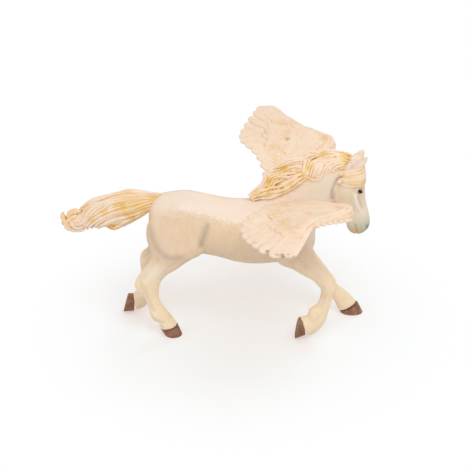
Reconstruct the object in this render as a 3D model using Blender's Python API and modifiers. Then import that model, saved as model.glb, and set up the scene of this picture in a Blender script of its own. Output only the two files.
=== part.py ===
"""Pegasus figurine: a galloping winged horse in solid moulded vinyl, standing on its hooves.

The horse is one moulding, with its trunk, neck, head, legs, hooves, mane and tail. Each wing is a
moulding of its own, whose peg is glued into a socket beside the withers. X runs from tail to head,
Y to the horse's left and Z up, and the hooves stand on Z = 0.

Tables and named sizes are in millimetres, as a sculptor notes them on a side view. MM turns them
into Blender's metres where a mesh is made.
"""

import math

import bmesh
import bpy
from mathutils import Matrix, Vector
from mathutils.bvhtree import BVHTree

MM = 0.001

# Fits and finish of the mouldings
FIT_GAP = 0.3
GRAIN = 0.5
HORSE_POLISH_ROUNDS = 4
WING_POLISH_ROUNDS = 2
HORSE_TRIANGLES = 7100
WING_TRIANGLES = 2100
RING_SIDES = 20
CREAM = (0.82, 0.68, 0.52)
WING_CREAM = (0.90, 0.76, 0.60)
SATIN = 0.55

# Trunk: x, height of the back, height of the belly, half width as a share of the barrel's
BARREL_HALF_WIDTH = 13.4
WIDEST_HEIGHT = 0.46
TRUNK = (
    (-41.8, 67.5, 59.0, 0.30),
    (-40.4, 70.6, 54.5, 0.60),
    (-37.4, 73.2, 49.5, 0.78),
    (-33.0, 74.7, 45.6, 0.87),
    (-27.0, 75.6, 43.8, 0.91),
    (-21.0, 75.4, 43.0, 0.90),
    (-14.0, 73.9, 42.5, 0.88),
    (-7.0, 72.2, 40.9, 0.92),
    (0.0, 71.2, 38.9, 0.99),
    (8.0, 71.3, 37.6, 1.00),
    (15.0, 72.0, 37.6, 0.97),
    (22.0, 71.4, 38.4, 0.90),
    (29.0, 68.0, 40.2, 0.83),
    (35.0, 63.0, 42.8, 0.70),
    (38.4, 58.5, 46.0, 0.46),
    (39.4, 54.0, 49.5, 0.16),
)

# Neck: crest x and z, throat x and z, sideways lean, half width
NECK = (
    (6.0, 69.5, 32.0, 45.0, 0.0, 9.0),
    (12.5, 72.8, 38.4, 52.0, 0.0, 9.6),
    (19.0, 78.6, 41.0, 60.5, 0.0, 8.4),
    (25.5, 84.6, 43.2, 67.2, -0.2, 7.3),
    (32.5, 89.6, 45.6, 72.4, -0.5, 6.5),
    (40.5, 92.8, 48.8, 77.0, -0.8, 6.0),
    (48.0, 93.6, 53.0, 80.5, -1.0, 5.5),
    (54.0, 93.2, 57.0, 83.5, -1.0, 4.6),
)

# Head: profile x and z, jaw x and z, sideways lean, half width
HEAD = (
    (56.0, 95.0, 50.5, 91.6, -1.0, 3.0),
    (59.4, 92.8, 48.4, 87.6, -1.1, 5.0),
    (61.4, 87.8, 47.2, 82.6, -1.6, 6.1),
    (62.1, 82.4, 46.4, 77.8, -2.4, 6.5),
    (62.3, 78.0, 46.6, 73.4, -3.1, 6.2),
    (62.7, 73.8, 49.0, 69.6, -3.8, 5.2),
    (63.6, 70.2, 51.6, 66.8, -4.4, 4.4),
    (64.5, 66.9, 53.2, 64.2, -5.0, 4.1),
    (65.2, 63.4, 53.7, 61.4, -5.5, 4.3),
    (64.8, 60.6, 54.5, 59.0, -5.8, 4.2),
    (63.3, 58.2, 56.1, 57.2, -6.0, 3.3),
    (61.2, 56.8, 58.2, 56.5, -6.0, 1.6),
)

EAR_LENGTH = 10.6
EAR_HALF_WIDTH = 1.9
EAR_HALF_THICKNESS = 1.4
EAR_BASE = (54.4, 3.9, 90.0)
EAR_AIM = (7.4, 1.0, 6.8)
EAR_CURL = 1.2
EAR_WIDTHS = ((-0.15, 0.8), (0.1, 0.92), (0.35, 1.0), (0.6, 0.85), (0.82, 0.5), (1.0, 0.14))

EYE_RADIUS = 1.5
EYES = ((59.9, -8.2, 79.3), (59.9, 3.0, 79.3))

# Legs, from inside the trunk to the coronet: front x and z, back x and z, distance from the middle
# of the body, half width
RIGHT_HIND = (
    (-18.0, 66.0, -38.0, 69.0, -5.5, 5.5),
    (-14.5, 58.0, -42.2, 62.0, -6.5, 6.5),
    (-13.5, 51.0, -43.2, 55.5, -7.3, 6.8),
    (-16.0, 46.4, -42.0, 49.5, -7.9, 6.6),
    (-20.5, 44.0, -40.8, 45.4, -8.4, 5.8),
    (-24.4, 41.3, -42.0, 42.4, -8.8, 4.7),
    (-28.4, 38.2, -44.0, 39.4, -9.0, 4.2),
    (-31.9, 36.0, -46.4, 35.8, -9.0, 3.8),
    (-35.0, 33.2, -48.8, 32.2, -9.0, 3.6),
    (-36.8, 30.2, -49.8, 28.6, -9.0, 3.5),
    (-37.7, 26.4, -48.6, 25.9, -9.0, 3.3),
    (-38.0, 22.6, -45.6, 22.4, -9.0, 2.8),
    (-37.2, 19.2, -44.3, 18.6, -9.0, 2.7),
    (-35.4, 16.0, -43.3, 14.8, -9.0, 2.9),
    (-33.8, 13.3, -42.5, 11.4, -9.0, 3.4),
    (-32.2, 11.2, -40.8, 8.6, -9.0, 3.4),
    (-30.9, 9.2, -37.9, 7.0, -9.0, 3.3),
    (-29.8, 7.4, -37.0, 5.4, -9.0, 3.6),
)
LEFT_HIND = (
    (-18.0, 66.0, -38.0, 69.0, 5.5, 5.5),
    (-14.5, 58.0, -42.2, 62.0, 6.5, 6.5),
    (-13.5, 51.0, -42.8, 55.5, 7.3, 6.8),
    (-16.0, 46.0, -41.5, 49.5, 8.2, 6.6),
    (-20.5, 43.0, -40.6, 46.0, 8.9, 5.8),
    (-24.8, 40.0, -41.2, 43.2, 9.5, 4.8),
    (-29.2, 37.2, -43.2, 40.8, 10.1, 4.3),
    (-33.4, 34.4, -45.6, 38.2, 10.6, 3.9),
    (-36.6, 31.4, -47.9, 35.4, 11.0, 3.7),
    (-37.9, 28.6, -48.6, 30.8, 11.3, 3.4),
    (-39.4, 25.3, -48.4, 27.0, 11.6, 3.0),
    (-41.0, 21.1, -48.2, 22.1, 12.0, 2.7),
    (-42.0, 15.4, -48.8, 16.4, 12.5, 2.7),
    (-42.2, 10.6, -50.0, 12.9, 12.9, 3.2),
    (-44.6, 6.0, -50.3, 12.4, 13.1, 3.4),
    (-47.8, 3.0, -51.0, 11.2, 13.2, 3.3),
    (-51.4, 1.2, -53.1, 10.4, 13.4, 3.7),
)
RIGHT_FORE = (
    (37.0, 63.0, 21.0, 66.0, -5.5, 5.0),
    (38.4, 55.0, 17.0, 58.0, -6.5, 6.4),
    (38.6, 49.6, 16.0, 49.0, -7.4, 6.6),
    (40.0, 46.0, 20.5, 41.8, -8.2, 6.2),
    (41.6, 42.8, 27.4, 38.6, -8.8, 5.2),
    (44.2, 39.4, 33.0, 35.2, -9.4, 4.5),
    (47.2, 35.8, 37.9, 32.6, -9.9, 4.0),
    (49.8, 31.8, 41.0, 29.2, -10.3, 3.8),
    (50.1, 28.4, 42.4, 27.2, -10.6, 3.6),
    (48.9, 24.4, 42.4, 24.2, -10.8, 3.0),
    (47.9, 20.4, 41.6, 20.8, -11.0, 2.7),
    (47.0, 16.4, 40.0, 18.0, -11.3, 2.8),
    (46.0, 12.4, 37.9, 16.2, -11.5, 3.3),
    (44.4, 8.6, 36.9, 14.2, -11.7, 3.4),
    (42.0, 5.8, 35.6, 12.8, -11.8, 3.3),
    (39.2, 3.9, 33.8, 12.1, -11.9, 3.6),
    (36.6, 3.0, 32.6, 11.6, -12.0, 3.9),
)
LEFT_FORE = (
    (37.0, 63.0, 21.0, 66.0, 5.5, 5.0),
    (38.4, 55.0, 17.0, 58.0, 6.5, 6.4),
    (38.6, 49.6, 16.0, 49.0, 7.4, 6.6),
    (39.6, 44.6, 20.5, 41.0, 8.2, 6.2),
    (41.0, 40.6, 27.4, 36.6, 8.8, 5.2),
    (43.0, 36.2, 32.6, 32.0, 9.4, 4.5),
    (45.4, 31.6, 36.8, 28.0, 9.8, 4.0),
    (47.4, 27.6, 40.4, 24.0, 10.2, 3.8),
    (49.0, 24.0, 43.0, 20.8, 10.6, 3.3),
    (50.8, 20.4, 46.0, 17.4, 11.0, 2.7),
    (53.0, 17.0, 48.8, 13.4, 11.4, 2.7),
    (55.2, 13.9, 50.6, 9.6, 11.9, 3.2),
    (57.6, 11.6, 52.2, 6.6, 12.1, 3.4),
    (60.0, 9.2, 53.8, 4.0, 12.3, 3.4),
    (62.6, 6.6, 56.0, 2.4, 12.4, 3.7),
)

# Hooves: the sole's centre, degrees folded back, half length, half width, toe height, how far the
# coronet stands behind the toe, heel height
SOLE_DEPTH = 0.6
WALL_TAPER = 0.4
CORONET_STEP = 0.35
CORONET_INSET = 0.7
CORONET_HALF_WIDTH = 3.2
HOOVES = (
    ((-31.8, -9.0, 0.0), 0.0, 5.0, 4.2, 6.2, 2.1, 4.4),
    ((60.9, 12.4, 0.0), 0.0, 5.8, 4.2, 5.8, 3.2, 1.6),
    ((31.2, -12.0, 5.9), 100.0, 6.3, 4.2, 4.9, 3.0, 1.8),
    ((-57.0, 13.4, 4.9), 106.0, 5.2, 4.2, 5.4, 1.6, 2.6),
)

# Tail: x, upper edge, lower edge, half width of the bundle, and the locks laid over it
TAIL = (
    (-36.5, 74.0, 68.5, 2.2),
    (-42.0, 75.6, 65.6, 2.7),
    (-48.0, 76.2, 61.8, 3.2),
    (-56.0, 75.6, 57.2, 3.5),
    (-64.0, 73.2, 56.0, 3.4),
    (-71.0, 69.4, 55.4, 3.1),
    (-77.0, 65.4, 54.8, 2.6),
    (-82.0, 63.0, 55.4, 1.9),
    (-85.0, 61.4, 57.4, 1.0),
)
TAIL_LOCKS = 18
TAIL_LOCK_RADIUS = 1.15
TAIL_LOCK_STEPS = 8
TAIL_WAVE = 0.16
TAIL_RAGGEDNESS = 0.14

# Mane: locks as side view points, x and z, that are laid on the neck's side
MANE_LOCK_RADIUS = 1.5
MANE_LIFT = 0.5
MANE_STAGGER = 0.4
MANE_LEAN = -0.6
MANE_CORE = (
    (13.0, 73.6, 5.0, 3.4),
    (20.0, 80.4, 6.6, 5.6),
    (27.0, 86.8, 7.6, 6.0),
    (34.0, 91.6, 8.4, 5.8),
    (42.0, 94.4, 8.0, 5.4),
    (49.0, 95.0, 6.0, 4.6),
    (55.0, 94.6, 3.0, 3.0),
)
NEAR_LOCKS = (
    ((54, 93.5), (46, 96), (38, 93), (32, 86), (33, 81.5), (37, 81.5), (41, 86), (45, 88.5)),
    ((55, 92), (49, 90.5), (44, 86.5), (40, 82), (36.5, 79.5)),
    ((53, 95), (44, 97), (36, 95), (31.5, 89), (28.5, 82), (22, 78), (14, 74.5), (6.5, 72.5)),
    ((41, 95.5), (34, 94), (27, 90.5), (20, 87), (14.5, 86)),
    ((36, 91), (29, 87.5), (22, 84.5), (16, 80), (13, 76)),
    ((33, 84), (26, 81.5), (19, 77), (12.5, 74)),
    ((51, 91), (47, 86), (43, 83), (39.5, 84.5)),
    ((38, 88), (34.5, 84), (30, 81.5), (25, 80)),
    ((30, 86), (24, 82.5), (18, 79.5), (12, 76), (8, 73)),
)
FAR_LOCKS = (
    ((54, 93.5), (46, 95.5), (39, 90), (34, 83), (28, 79)),
    ((50, 94.5), (42, 91.5), (36, 85), (31, 80)),
    ((42, 95), (34, 92), (28, 85), (21, 80)),
    ((34, 92), (27, 87), (21, 81), (14, 76)),
    ((24, 85), (18, 79), (12, 74.5), (7, 72.5)),
)
FORELOCK_RADIUS = 1.05
FORELOCK = (
    ((57.5, 0.0, 95.2), (60.8, -2.6, 92.0), (58.8, -6.4, 89.4), (53.8, -7.8, 88.2), (49.6, -7.4, 88.4)),
    ((58.5, -0.4, 94.6), (62.0, -2.6, 89.8), (59.4, -7.2, 86.6), (54.0, -8.4, 85.2), (49.0, -8.0, 85.0)),
    ((59.2, 0.0, 94.0), (62.6, -1.6, 88.4), (61.2, -6.8, 84.4), (56.0, -8.6, 82.8), (50.4, -8.6, 82.4)),
    ((58.2, 0.2, 94.6), (61.6, 1.6, 90.2), (60.0, 4.4, 86.4), (56.0, 5.6, 84.6)),
    ((57.4, 0.4, 95.0), (60.2, 2.2, 92.4), (57.6, 4.8, 89.4), (53.6, 5.6, 87.6)),
)

# Wings, noted on the left side: x, y, z, half width, half height. The right one is mirrored, and
# has leading feathers of its own.
WING_ARM = (
    (17.0, 5.0, 68.5, 4.4, 3.6),
    (21.0, 8.6, 71.0, 4.9, 4.0),
    (27.0, 14.6, 74.4, 5.0, 4.0),
    (35.0, 23.4, 78.4, 4.7, 3.8),
    (43.0, 31.4, 81.4, 4.4, 3.5),
    (47.4, 36.8, 82.8, 4.2, 3.2),
    (47.4, 42.0, 83.8, 3.8, 2.8),
    (43.8, 47.6, 84.6, 3.0, 2.3),
    (38.6, 52.6, 85.6, 2.2, 1.8),
    (33.4, 56.6, 86.2, 1.4, 1.3),
)
PEG_RADIUS = 2.6
PEG_LENGTH = 7.0
PEG_BASE = (21.0, 9.6, 71.2)
PEG_AXIS = (0.0, 0.86, 0.51)
SOCKET_RUN_OUT = 6.0
GROUND_CUTTER = (300.0, 20.0)

# Feathers: root x, y, z and tip x, y, z
FLIGHT_HALF_WIDTH = 3.7
LEFT_LEADING = (
    ((35.0, 53.6, 86.0), (21.2, 73.4, 86.5)),
    ((32.0, 54.0, 86.0), (17.6, 84.4, 86.6)),
    ((31.4, 51.0, 85.6), (13.4, 84.2, 86.4)),
)
RIGHT_LEADING = (
    ((32.0, 54.0, 86.0), (21.0, 84.4, 86.6)),
    ((31.4, 51.0, 85.6), (15.6, 84.6, 86.6)),
)
FLIGHT_FEATHERS = (
    ((30.8, 47.6, 85.0), (11.2, 79.4, 85.8)),
    ((30.2, 44.2, 84.4), (8.2, 73.0, 84.8)),
    ((29.6, 40.8, 83.6), (5.8, 67.0, 83.6)),
    ((29.2, 37.4, 82.8), (3.8, 60.8, 82.7)),
    ((28.8, 34.0, 81.8), (2.8, 54.6, 82.4)),
    ((28.4, 30.4, 80.8), (3.4, 48.8, 82.6)),
    ((27.8, 26.6, 79.6), (6.2, 43.0, 82.8)),
    ((27.0, 22.8, 78.2), (9.4, 38.0, 82.2)),
    ((26.0, 19.0, 76.8), (12.2, 32.2, 81.0)),
    ((24.8, 15.4, 75.4), (14.2, 26.4, 79.4)),
    ((23.4, 12.4, 74.2), (15.2, 20.4, 77.2)),
)
COVERT_HALF_WIDTH = 3.6
COVERTS = (
    ((33.0, 52.6, 85.9), (24.2, 68.0, 86.4)),
    ((36.6, 50.0, 85.6), (20.6, 65.6, 85.9)),
    ((41.4, 45.4, 84.8), (17.8, 61.4, 85.2)),
    ((43.6, 41.0, 84.0), (16.4, 57.2, 84.4)),
    ((43.0, 36.4, 83.2), (15.6, 52.4, 83.6)),
    ((41.2, 32.6, 82.2), (15.6, 47.4, 83.1)),
    ((38.2, 28.4, 80.9), (16.0, 42.6, 82.5)),
    ((35.0, 24.2, 79.4), (16.6, 37.6, 81.6)),
    ((31.6, 20.4, 77.9), (17.2, 32.4, 80.5)),
    ((28.4, 16.8, 76.3), (18.0, 27.2, 79.2)),
    ((26.0, 13.4, 75.0), (17.8, 21.8, 77.3)),
)
COVERT_ROOT_LIFT = 1.1
COVERT_TIP_LIFT = 0.6
FEATHER_HALF_THICKNESS = 0.85
FEATHER_TAPER = 0.35
FEATHER_ROLL = 6.0
FEATHER_WIDTHS = ((0.0, 0.7), (0.3, 0.85), (0.6, 0.95), (0.85, 1.0), (0.94, 0.85), (0.985, 0.55), (1.0, 0.2))
WING_RISE = (0.0, -0.2, 1.0)


def between(rows, share):
    """The point at this share of a smooth curve through the rows, by Catmull and Rom's rule."""
    rows = [Vector(row) for row in rows]
    rows = [rows[0] * 2 - rows[1], *rows, rows[-1] * 2 - rows[-2]]
    spans = len(rows) - 3
    span = min(int(share * spans), spans - 1)
    t = share * spans - span
    a, b, c, d = rows[span : span + 4]
    bend = (a * 2 - b * 5 + c * 4 - d) * t**2 + (b * 3 - a - c * 3 + d) * t**3
    return (b * 2 + (c - a) * t + bend) / 2


def smooth_rows(rows, per_span):
    count = (len(rows) - 1) * per_span
    return [between(rows, k / count) for k in range(count + 1)]


def oval(centre, across, up, down):
    """A ring of points whose half axes are vectors, with one for each half of its height."""
    points = []
    for k in range(RING_SIDES):
        turn = math.tau * k / RING_SIDES
        rise = math.sin(turn)
        points.append(centre + across * math.cos(turn) + (up if rise > 0 else down) * rise)
    return points


def loft(rings):
    """A closed skin over rings of points in millimetres, with a flat cap at each end."""
    skin = bmesh.new()
    loops = [[skin.verts.new(point * MM) for point in ring] for ring in rings]
    for first, second in zip(loops, loops[1:]):
        for k in range(len(first)):
            after = (k + 1) % len(first)
            skin.faces.new((first[k], first[after], second[after], second[k]))
    skin.faces.new(loops[0])
    skin.faces.new(loops[-1])
    bmesh.ops.recalc_face_normals(skin, faces=skin.faces)
    mesh = bpy.data.meshes.new("loft")
    skin.to_mesh(mesh)
    skin.free()
    return mesh


def tube(points, radius, tip=0.25):
    """A lock of hair: a curve that swells a little from its root and tapers to its tip."""
    data = bpy.data.curves.new("lock", "CURVE")
    data.dimensions = "3D"
    data.bevel_depth = radius * MM
    data.bevel_resolution = 2
    data.use_fill_caps = True
    spline = data.splines.new("POLY")
    rows = smooth_rows(points, 5)
    spline.points.add(len(rows) - 1)
    for k, (point, row) in enumerate(zip(spline.points, rows)):
        share = k / (len(rows) - 1)
        point.co = (*(row * MM), 1)
        point.radius = min(1.0, 0.7 + 2 * share, tip + 2.4 * (1 - share))
    return as_mesh(data)


def as_mesh(data):
    """The closed mesh of a curve, with its loose caps welded."""
    holder = bpy.data.objects.new("holder", data)
    bpy.context.scene.collection.objects.link(holder)
    mesh = bpy.data.meshes.new_from_object(holder.evaluated_get(bpy.context.evaluated_depsgraph_get()))
    bpy.data.objects.remove(holder)
    skin = bmesh.new()
    skin.from_mesh(mesh)
    bmesh.ops.remove_doubles(skin, verts=skin.verts, dist=1e-6)
    skin.to_mesh(mesh)
    skin.free()
    return mesh


def profile_ring(row, widest=WIDEST_HEIGHT):
    """The section between an upper and a lower point of the side view, with its lean and half width."""
    high, low = Vector((row[0], row[4], row[1])), Vector((row[2], row[4], row[3]))
    centre = low.lerp(high, widest)
    return oval(centre, Vector((0, row[5], 0)), high - centre, centre - low)


def trunk():
    """The barrel, from the buttocks to the chest."""
    rings = []
    for x, back, belly, share in smooth_rows(TRUNK, 3):
        rings.append(profile_ring((x, back, x, belly, 0.0, share * BARREL_HALF_WIDTH)))
    return loft(rings)


def profile(rows, per_span):
    """A limb, neck or head, skinned over its sections."""
    return loft([profile_ring(row, 0.5) for row in smooth_rows(rows, per_span)])


def hoof(sole, fold, half_length, half_width, toe_height, setback, heel_height):
    """A hoof: a sole, a wall that leans back to the coronet, and a step where the skin begins."""
    top = half_length - setback - CORONET_INSET
    outline = (
        (-half_length, -SOLE_DEPTH, half_length, -SOLE_DEPTH, half_width),
        (-half_length, 0.0, half_length, 0.0, half_width),
        (-half_length - WALL_TAPER, heel_height, half_length - setback, toe_height, half_width - WALL_TAPER),
        (-half_length, heel_height + CORONET_STEP, top, toe_height + CORONET_STEP, CORONET_HALF_WIDTH),
    )
    turn = Matrix.Rotation(math.radians(fold), 3, "Y")
    rings = []
    for heel_x, heel_z, toe_x, toe_z, half in outline:
        heel, toe = Vector((heel_x, 0, heel_z)), Vector((toe_x, 0, toe_z))
        centre = (heel + toe) / 2
        ring = oval(centre, Vector((0, half, 0)), toe - centre, centre - heel)
        rings.append([Vector(sole) + turn @ point for point in ring])
    return loft(rings)


def ear(side):
    """An ear: a leaf that curls forward, on one side of the head."""
    base, aim = Vector(EAR_BASE), Vector(EAR_AIM).normalized()
    base.y *= side
    aim.y *= side
    across = Vector((0, 1, 0)).cross(aim).normalized()
    thick = aim.cross(across)
    rings = []
    for share, width in EAR_WIDTHS:
        centre = base + aim * (share * EAR_LENGTH) + across * (EAR_CURL * math.sin(share * 3))
        flat = thick * (EAR_HALF_THICKNESS * width)
        rings.append(oval(centre, across * (EAR_HALF_WIDTH * width), flat, flat))
    return loft(rings)


def eye(centre):
    """An eyeball, sunk in the side of the head."""
    mesh = bpy.data.meshes.new("eye")
    ball = bmesh.new()
    bmesh.ops.create_uvsphere(ball, u_segments=12, v_segments=8, radius=EYE_RADIUS * MM)
    bmesh.ops.translate(ball, verts=ball.verts, vec=Vector(centre) * MM)
    ball.to_mesh(mesh)
    ball.free()
    return mesh


def tail():
    """The tail's bundle, and the locks that lie round it and wave more towards the end."""
    shapes = [profile([(x, high, x, low, 0.0, half) for x, high, low, half in TAIL], 3)]
    for k in range(TAIL_LOCKS):
        turn = math.tau * (k + 0.5) / TAIL_LOCKS
        reach = 1.0 - TAIL_RAGGEDNESS * ((k * 5) % 4) / 3
        points = []
        for step in range(TAIL_LOCK_STEPS + 1):
            share = step / TAIL_LOCK_STEPS * reach
            x, high, low, half = between(TAIL, share)
            wave = TAIL_WAVE * math.sin(share * 9 + k * 1.7) * (0.3 + share)
            rise, out = math.sin(turn + wave), math.cos(turn + wave)
            points.append((x, out * half, (high + low) / 2 + rise * (high - low) / 2))
        shapes.append(tube(points, TAIL_LOCK_RADIUS, 0.35))
    return shapes


def mane(neck):
    """The mane's core along the crest, and the locks that are laid on each side of the neck."""
    skin = BVHTree.FromPolygons(
        [vertex.co / MM for vertex in neck.vertices], [tuple(face.vertices) for face in neck.polygons]
    )
    rings = []
    for x, crest, depth, half_width in smooth_rows(MANE_CORE, 3):
        fall = Vector((depth / 4, 0, -depth / 2))
        centre = Vector((x, MANE_LEAN, crest)) + fall
        rings.append(oval(centre, Vector((0, half_width, 0)), -fall, -fall))
    shapes = [loft(rings)]
    for side, locks in ((-1, NEAR_LOCKS), (1, FAR_LOCKS)):
        for k, lock in enumerate(locks):
            points, out = [], 0.0
            for x, z in lock:
                hit = skin.ray_cast(Vector((x, side * 40, z)), Vector((0, -side, 0)))[0]
                if hit is not None:
                    out = abs(hit.y)
                points.append((x, side * (out + MANE_LIFT + MANE_STAGGER * (k % 2)), z))
            shapes.append(tube(points, MANE_LOCK_RADIUS, 0.4))
    return shapes


def feather(row, half_width, face=0):
    """A blade that widens to a blunt tip, rolled over its neighbour, in the wing or on a face of it."""
    root, tip = Vector(row[0]), Vector(row[1])
    along = tip - root
    across = along.cross(Vector(WING_RISE)).normalized()
    across.rotate(Matrix.Rotation(math.radians(FEATHER_ROLL), 3, along))
    thick = across.cross(along).normalized() * FEATHER_HALF_THICKNESS
    root += thick * COVERT_ROOT_LIFT * face
    along = tip + thick * COVERT_TIP_LIFT * face - root
    rings = []
    for share, width in FEATHER_WIDTHS:
        blade = thick * (1.0 - FEATHER_TAPER * share)
        rings.append(oval(root + along * share, across * half_width * width, blade, blade))
    return loft(rings)


def wing(leading):
    """A wing, above its peg: the arm, the flight feathers, and the coverts on both faces."""
    rings = []
    rows = smooth_rows(WING_ARM, 3)
    for k, row in enumerate(rows):
        before, after = rows[max(k - 1, 0)], rows[min(k + 1, len(rows) - 1)]
        along = Vector((after - before)[:3]).normalized()
        up = (Vector((0, 0, 1)) - along * along.z).normalized()
        rings.append(oval(Vector(row[:3]), up.cross(along) * row[3], up * row[4], up * row[4]))
    shapes = [loft(rings)]
    shapes += [feather(row, FLIGHT_HALF_WIDTH) for row in leading + FLIGHT_FEATHERS]
    for row in COVERTS:
        shapes += [feather(row, COVERT_HALF_WIDTH, 1), feather(row, COVERT_HALF_WIDTH, -1)]
    return shapes


def add_object(name, mesh, collection):
    thing = bpy.data.objects.new(name, mesh)
    collection.objects.link(thing)
    return thing


def settle(thing):
    """Makes the object's mesh what its modifiers give, and removes them."""
    graph = bpy.context.evaluated_depsgraph_get()
    mesh = bpy.data.meshes.new_from_object(thing.evaluated_get(graph))
    thing.modifiers.clear()
    thing.data = mesh


def mould(name, shapes, triangles, polish_rounds, collection):
    """One moulding: the shapes fused, polished where they meet, and thinned to so many triangles."""
    clay = bmesh.new()
    for shape in shapes:
        clay.from_mesh(shape)
    mesh = bpy.data.meshes.new(name)
    clay.to_mesh(mesh)
    clay.free()
    thing = add_object(name, mesh, collection)
    fuse = thing.modifiers.new("fuse", "REMESH")
    fuse.mode = "VOXEL"
    fuse.voxel_size = GRAIN * MM
    polish = thing.modifiers.new("polish", "SMOOTH")
    polish.factor = 0.5
    polish.iterations = polish_rounds
    settle(thing)
    thin = thing.modifiers.new("thin", "DECIMATE")
    thin.ratio = triangles / (2 * len(thing.data.polygons))
    thin.use_collapse_triangulate = True
    settle(thing)
    return thing


def cut(thing, cutter, operation="DIFFERENCE"):
    step = thing.modifiers.new("cut", "BOOLEAN")
    step.operation = operation
    step.object = cutter
    step.use_self = True
    settle(thing)


def cylinder(name, radius, near, far, collection):
    """A round bar from one point to another, for the pegs and their sockets."""
    axis = far - near
    bar = bmesh.new()
    bmesh.ops.create_cone(
        bar, cap_ends=True, segments=24, radius1=radius * MM, radius2=radius * MM, depth=axis.length * MM
    )
    place = Matrix.Translation((near + far) / 2 * MM) @ axis.to_track_quat("Z", "Y").to_matrix().to_4x4()
    bmesh.ops.transform(bar, matrix=place, verts=bar.verts)
    mesh = bpy.data.meshes.new(name)
    bar.to_mesh(mesh)
    bar.free()
    helper = add_object(name, mesh, collection)
    helper.hide_render = True
    helper.display_type = "WIRE"
    return helper


def paint(thing, name, colour):
    material = bpy.data.materials.new(name)
    material.use_nodes = True
    shader = material.node_tree.nodes["Principled BSDF"]
    shader.inputs["Base Color"].default_value = (*colour, 1)
    shader.inputs["Roughness"].default_value = SATIN
    shader.inputs["Metallic"].default_value = 0.0
    thing.data.materials.clear()
    thing.data.materials.append(material)


def swollen(thing, collection):
    """A copy of the horse that is larger all over by the fit's gap, which cuts a wing's seat."""
    copy = add_object("horse_with_gap", thing.data.copy(), collection)
    swell = copy.modifiers.new("swell", "DISPLACE")
    swell.strength = FIT_GAP * MM
    swell.mid_level = 0.0
    settle(copy)
    copy.hide_render = True
    copy.display_type = "WIRE"
    return copy


def make_horse(parts, cutters):
    """The horse's moulding, its hooves cut level where they stand."""
    neck = profile(NECK, 4)
    shapes = [trunk(), neck, profile(HEAD, 3), ear(-1), ear(1)]
    shapes += [eye(centre) for centre in EYES]
    shapes += [profile(leg, 3) for leg in (RIGHT_HIND, LEFT_HIND, RIGHT_FORE, LEFT_FORE)]
    shapes += [hoof(*row) for row in HOOVES]
    shapes += tail() + mane(neck)
    shapes += [tube(points, FORELOCK_RADIUS, 0.35) for points in FORELOCK]
    horse = mould("horse", shapes, HORSE_TRIANGLES, HORSE_POLISH_ROUNDS, parts)
    paint(horse, "cream_vinyl", CREAM)
    radius, depth = GROUND_CUTTER
    cut(horse, cylinder("ground", radius, Vector((0, 0, -depth)), Vector(), cutters))
    return horse


def make_wing(name, side, horse, seat, parts, cutters):
    """One wing, seated on the horse's side, with its peg in a socket that is bored for it."""
    shapes = wing(LEFT_LEADING if side > 0 else RIGHT_LEADING)
    if side < 0:
        for shape in shapes:
            shape.transform(Matrix.Scale(-1, 4, Vector((0, 1, 0))))
            shape.flip_normals()
    feathered = mould(name, shapes, WING_TRIANGLES, WING_POLISH_ROUNDS, parts)
    paint(feathered, "wing_vinyl", WING_CREAM)
    cut(feathered, seat)
    base, axis = Vector(PEG_BASE), Vector(PEG_AXIS).normalized()
    base.y *= side
    axis.y *= side
    inner = base - axis * PEG_LENGTH
    cut(feathered, cylinder(name + "_peg", PEG_RADIUS, inner, base, cutters), "UNION")
    floor, mouth = inner - axis * FIT_GAP, base + axis * SOCKET_RUN_OUT
    cut(horse, cylinder(name + "_socket", PEG_RADIUS + FIT_GAP, floor, mouth, cutters))
    return feathered


def stand(things):
    """Moves everything so that the middle of the figurine's footprint is the origin."""
    corners = [vertex.co for thing in things for vertex in thing.data.vertices]
    low = Vector([min(corner[k] for corner in corners) for k in range(3)])
    high = Vector([max(corner[k] for corner in corners) for k in range(3)])
    shift = Vector((-(low.x + high.x) / 2, -(low.y + high.y) / 2, -low.z))
    for thing in bpy.data.objects:
        thing.data.transform(Matrix.Translation(shift))


def main():
    for thing in list(bpy.data.objects):
        bpy.data.objects.remove(thing)
    parts = bpy.data.collections.new("pegasus_figurine")
    cutters = bpy.data.collections.new("cutters")
    bpy.context.scene.collection.children.link(parts)
    bpy.context.scene.collection.children.link(cutters)

    horse = make_horse(parts, cutters)
    seat = swollen(horse, cutters)
    left_wing = make_wing("left_wing", 1, horse, seat, parts, cutters)
    right_wing = make_wing("right_wing", -1, horse, seat, parts, cutters)
    stand([horse, left_wing, right_wing])


main()
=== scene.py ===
import math

import bmesh
import bpy
import numpy as np
from mathutils import Matrix, Vector
from mathutils.bvhtree import BVHTree


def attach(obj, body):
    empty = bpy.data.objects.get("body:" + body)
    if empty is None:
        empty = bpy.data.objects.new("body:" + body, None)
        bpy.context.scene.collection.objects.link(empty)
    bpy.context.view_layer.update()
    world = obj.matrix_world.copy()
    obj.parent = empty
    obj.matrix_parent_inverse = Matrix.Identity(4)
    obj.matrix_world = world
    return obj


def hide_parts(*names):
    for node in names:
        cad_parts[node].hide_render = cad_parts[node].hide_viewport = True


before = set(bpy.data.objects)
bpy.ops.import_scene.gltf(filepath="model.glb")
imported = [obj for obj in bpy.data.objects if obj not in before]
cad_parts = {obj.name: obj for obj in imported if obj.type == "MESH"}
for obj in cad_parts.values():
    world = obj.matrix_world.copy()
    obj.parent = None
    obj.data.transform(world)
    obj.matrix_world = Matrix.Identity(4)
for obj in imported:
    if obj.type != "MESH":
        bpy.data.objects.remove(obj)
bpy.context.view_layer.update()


# The studio: a white table top under a large soft lamp, with a white room round it that fills the
# shadows. Far from the figurine the table is paper white to the camera. Near it the table takes the
# figurine's soft shadow, with a painted pink tint, and is a little darker than paper white even where
# the lamps reach: a painted soft shadow round the figurine.
CAMERA_AIM = Vector((0.0092, 0.0, 0.052))
CAMERA_RISE = math.radians(28)
CAMERA_DISTANCE = 0.54
CAMERA_LENS = 83.95
TABLE_WIDTH = 6.0
TABLE_DROP = -0.00003
TABLE_GREY = 0.80
TABLE_ROUGHNESS = 0.9
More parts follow.
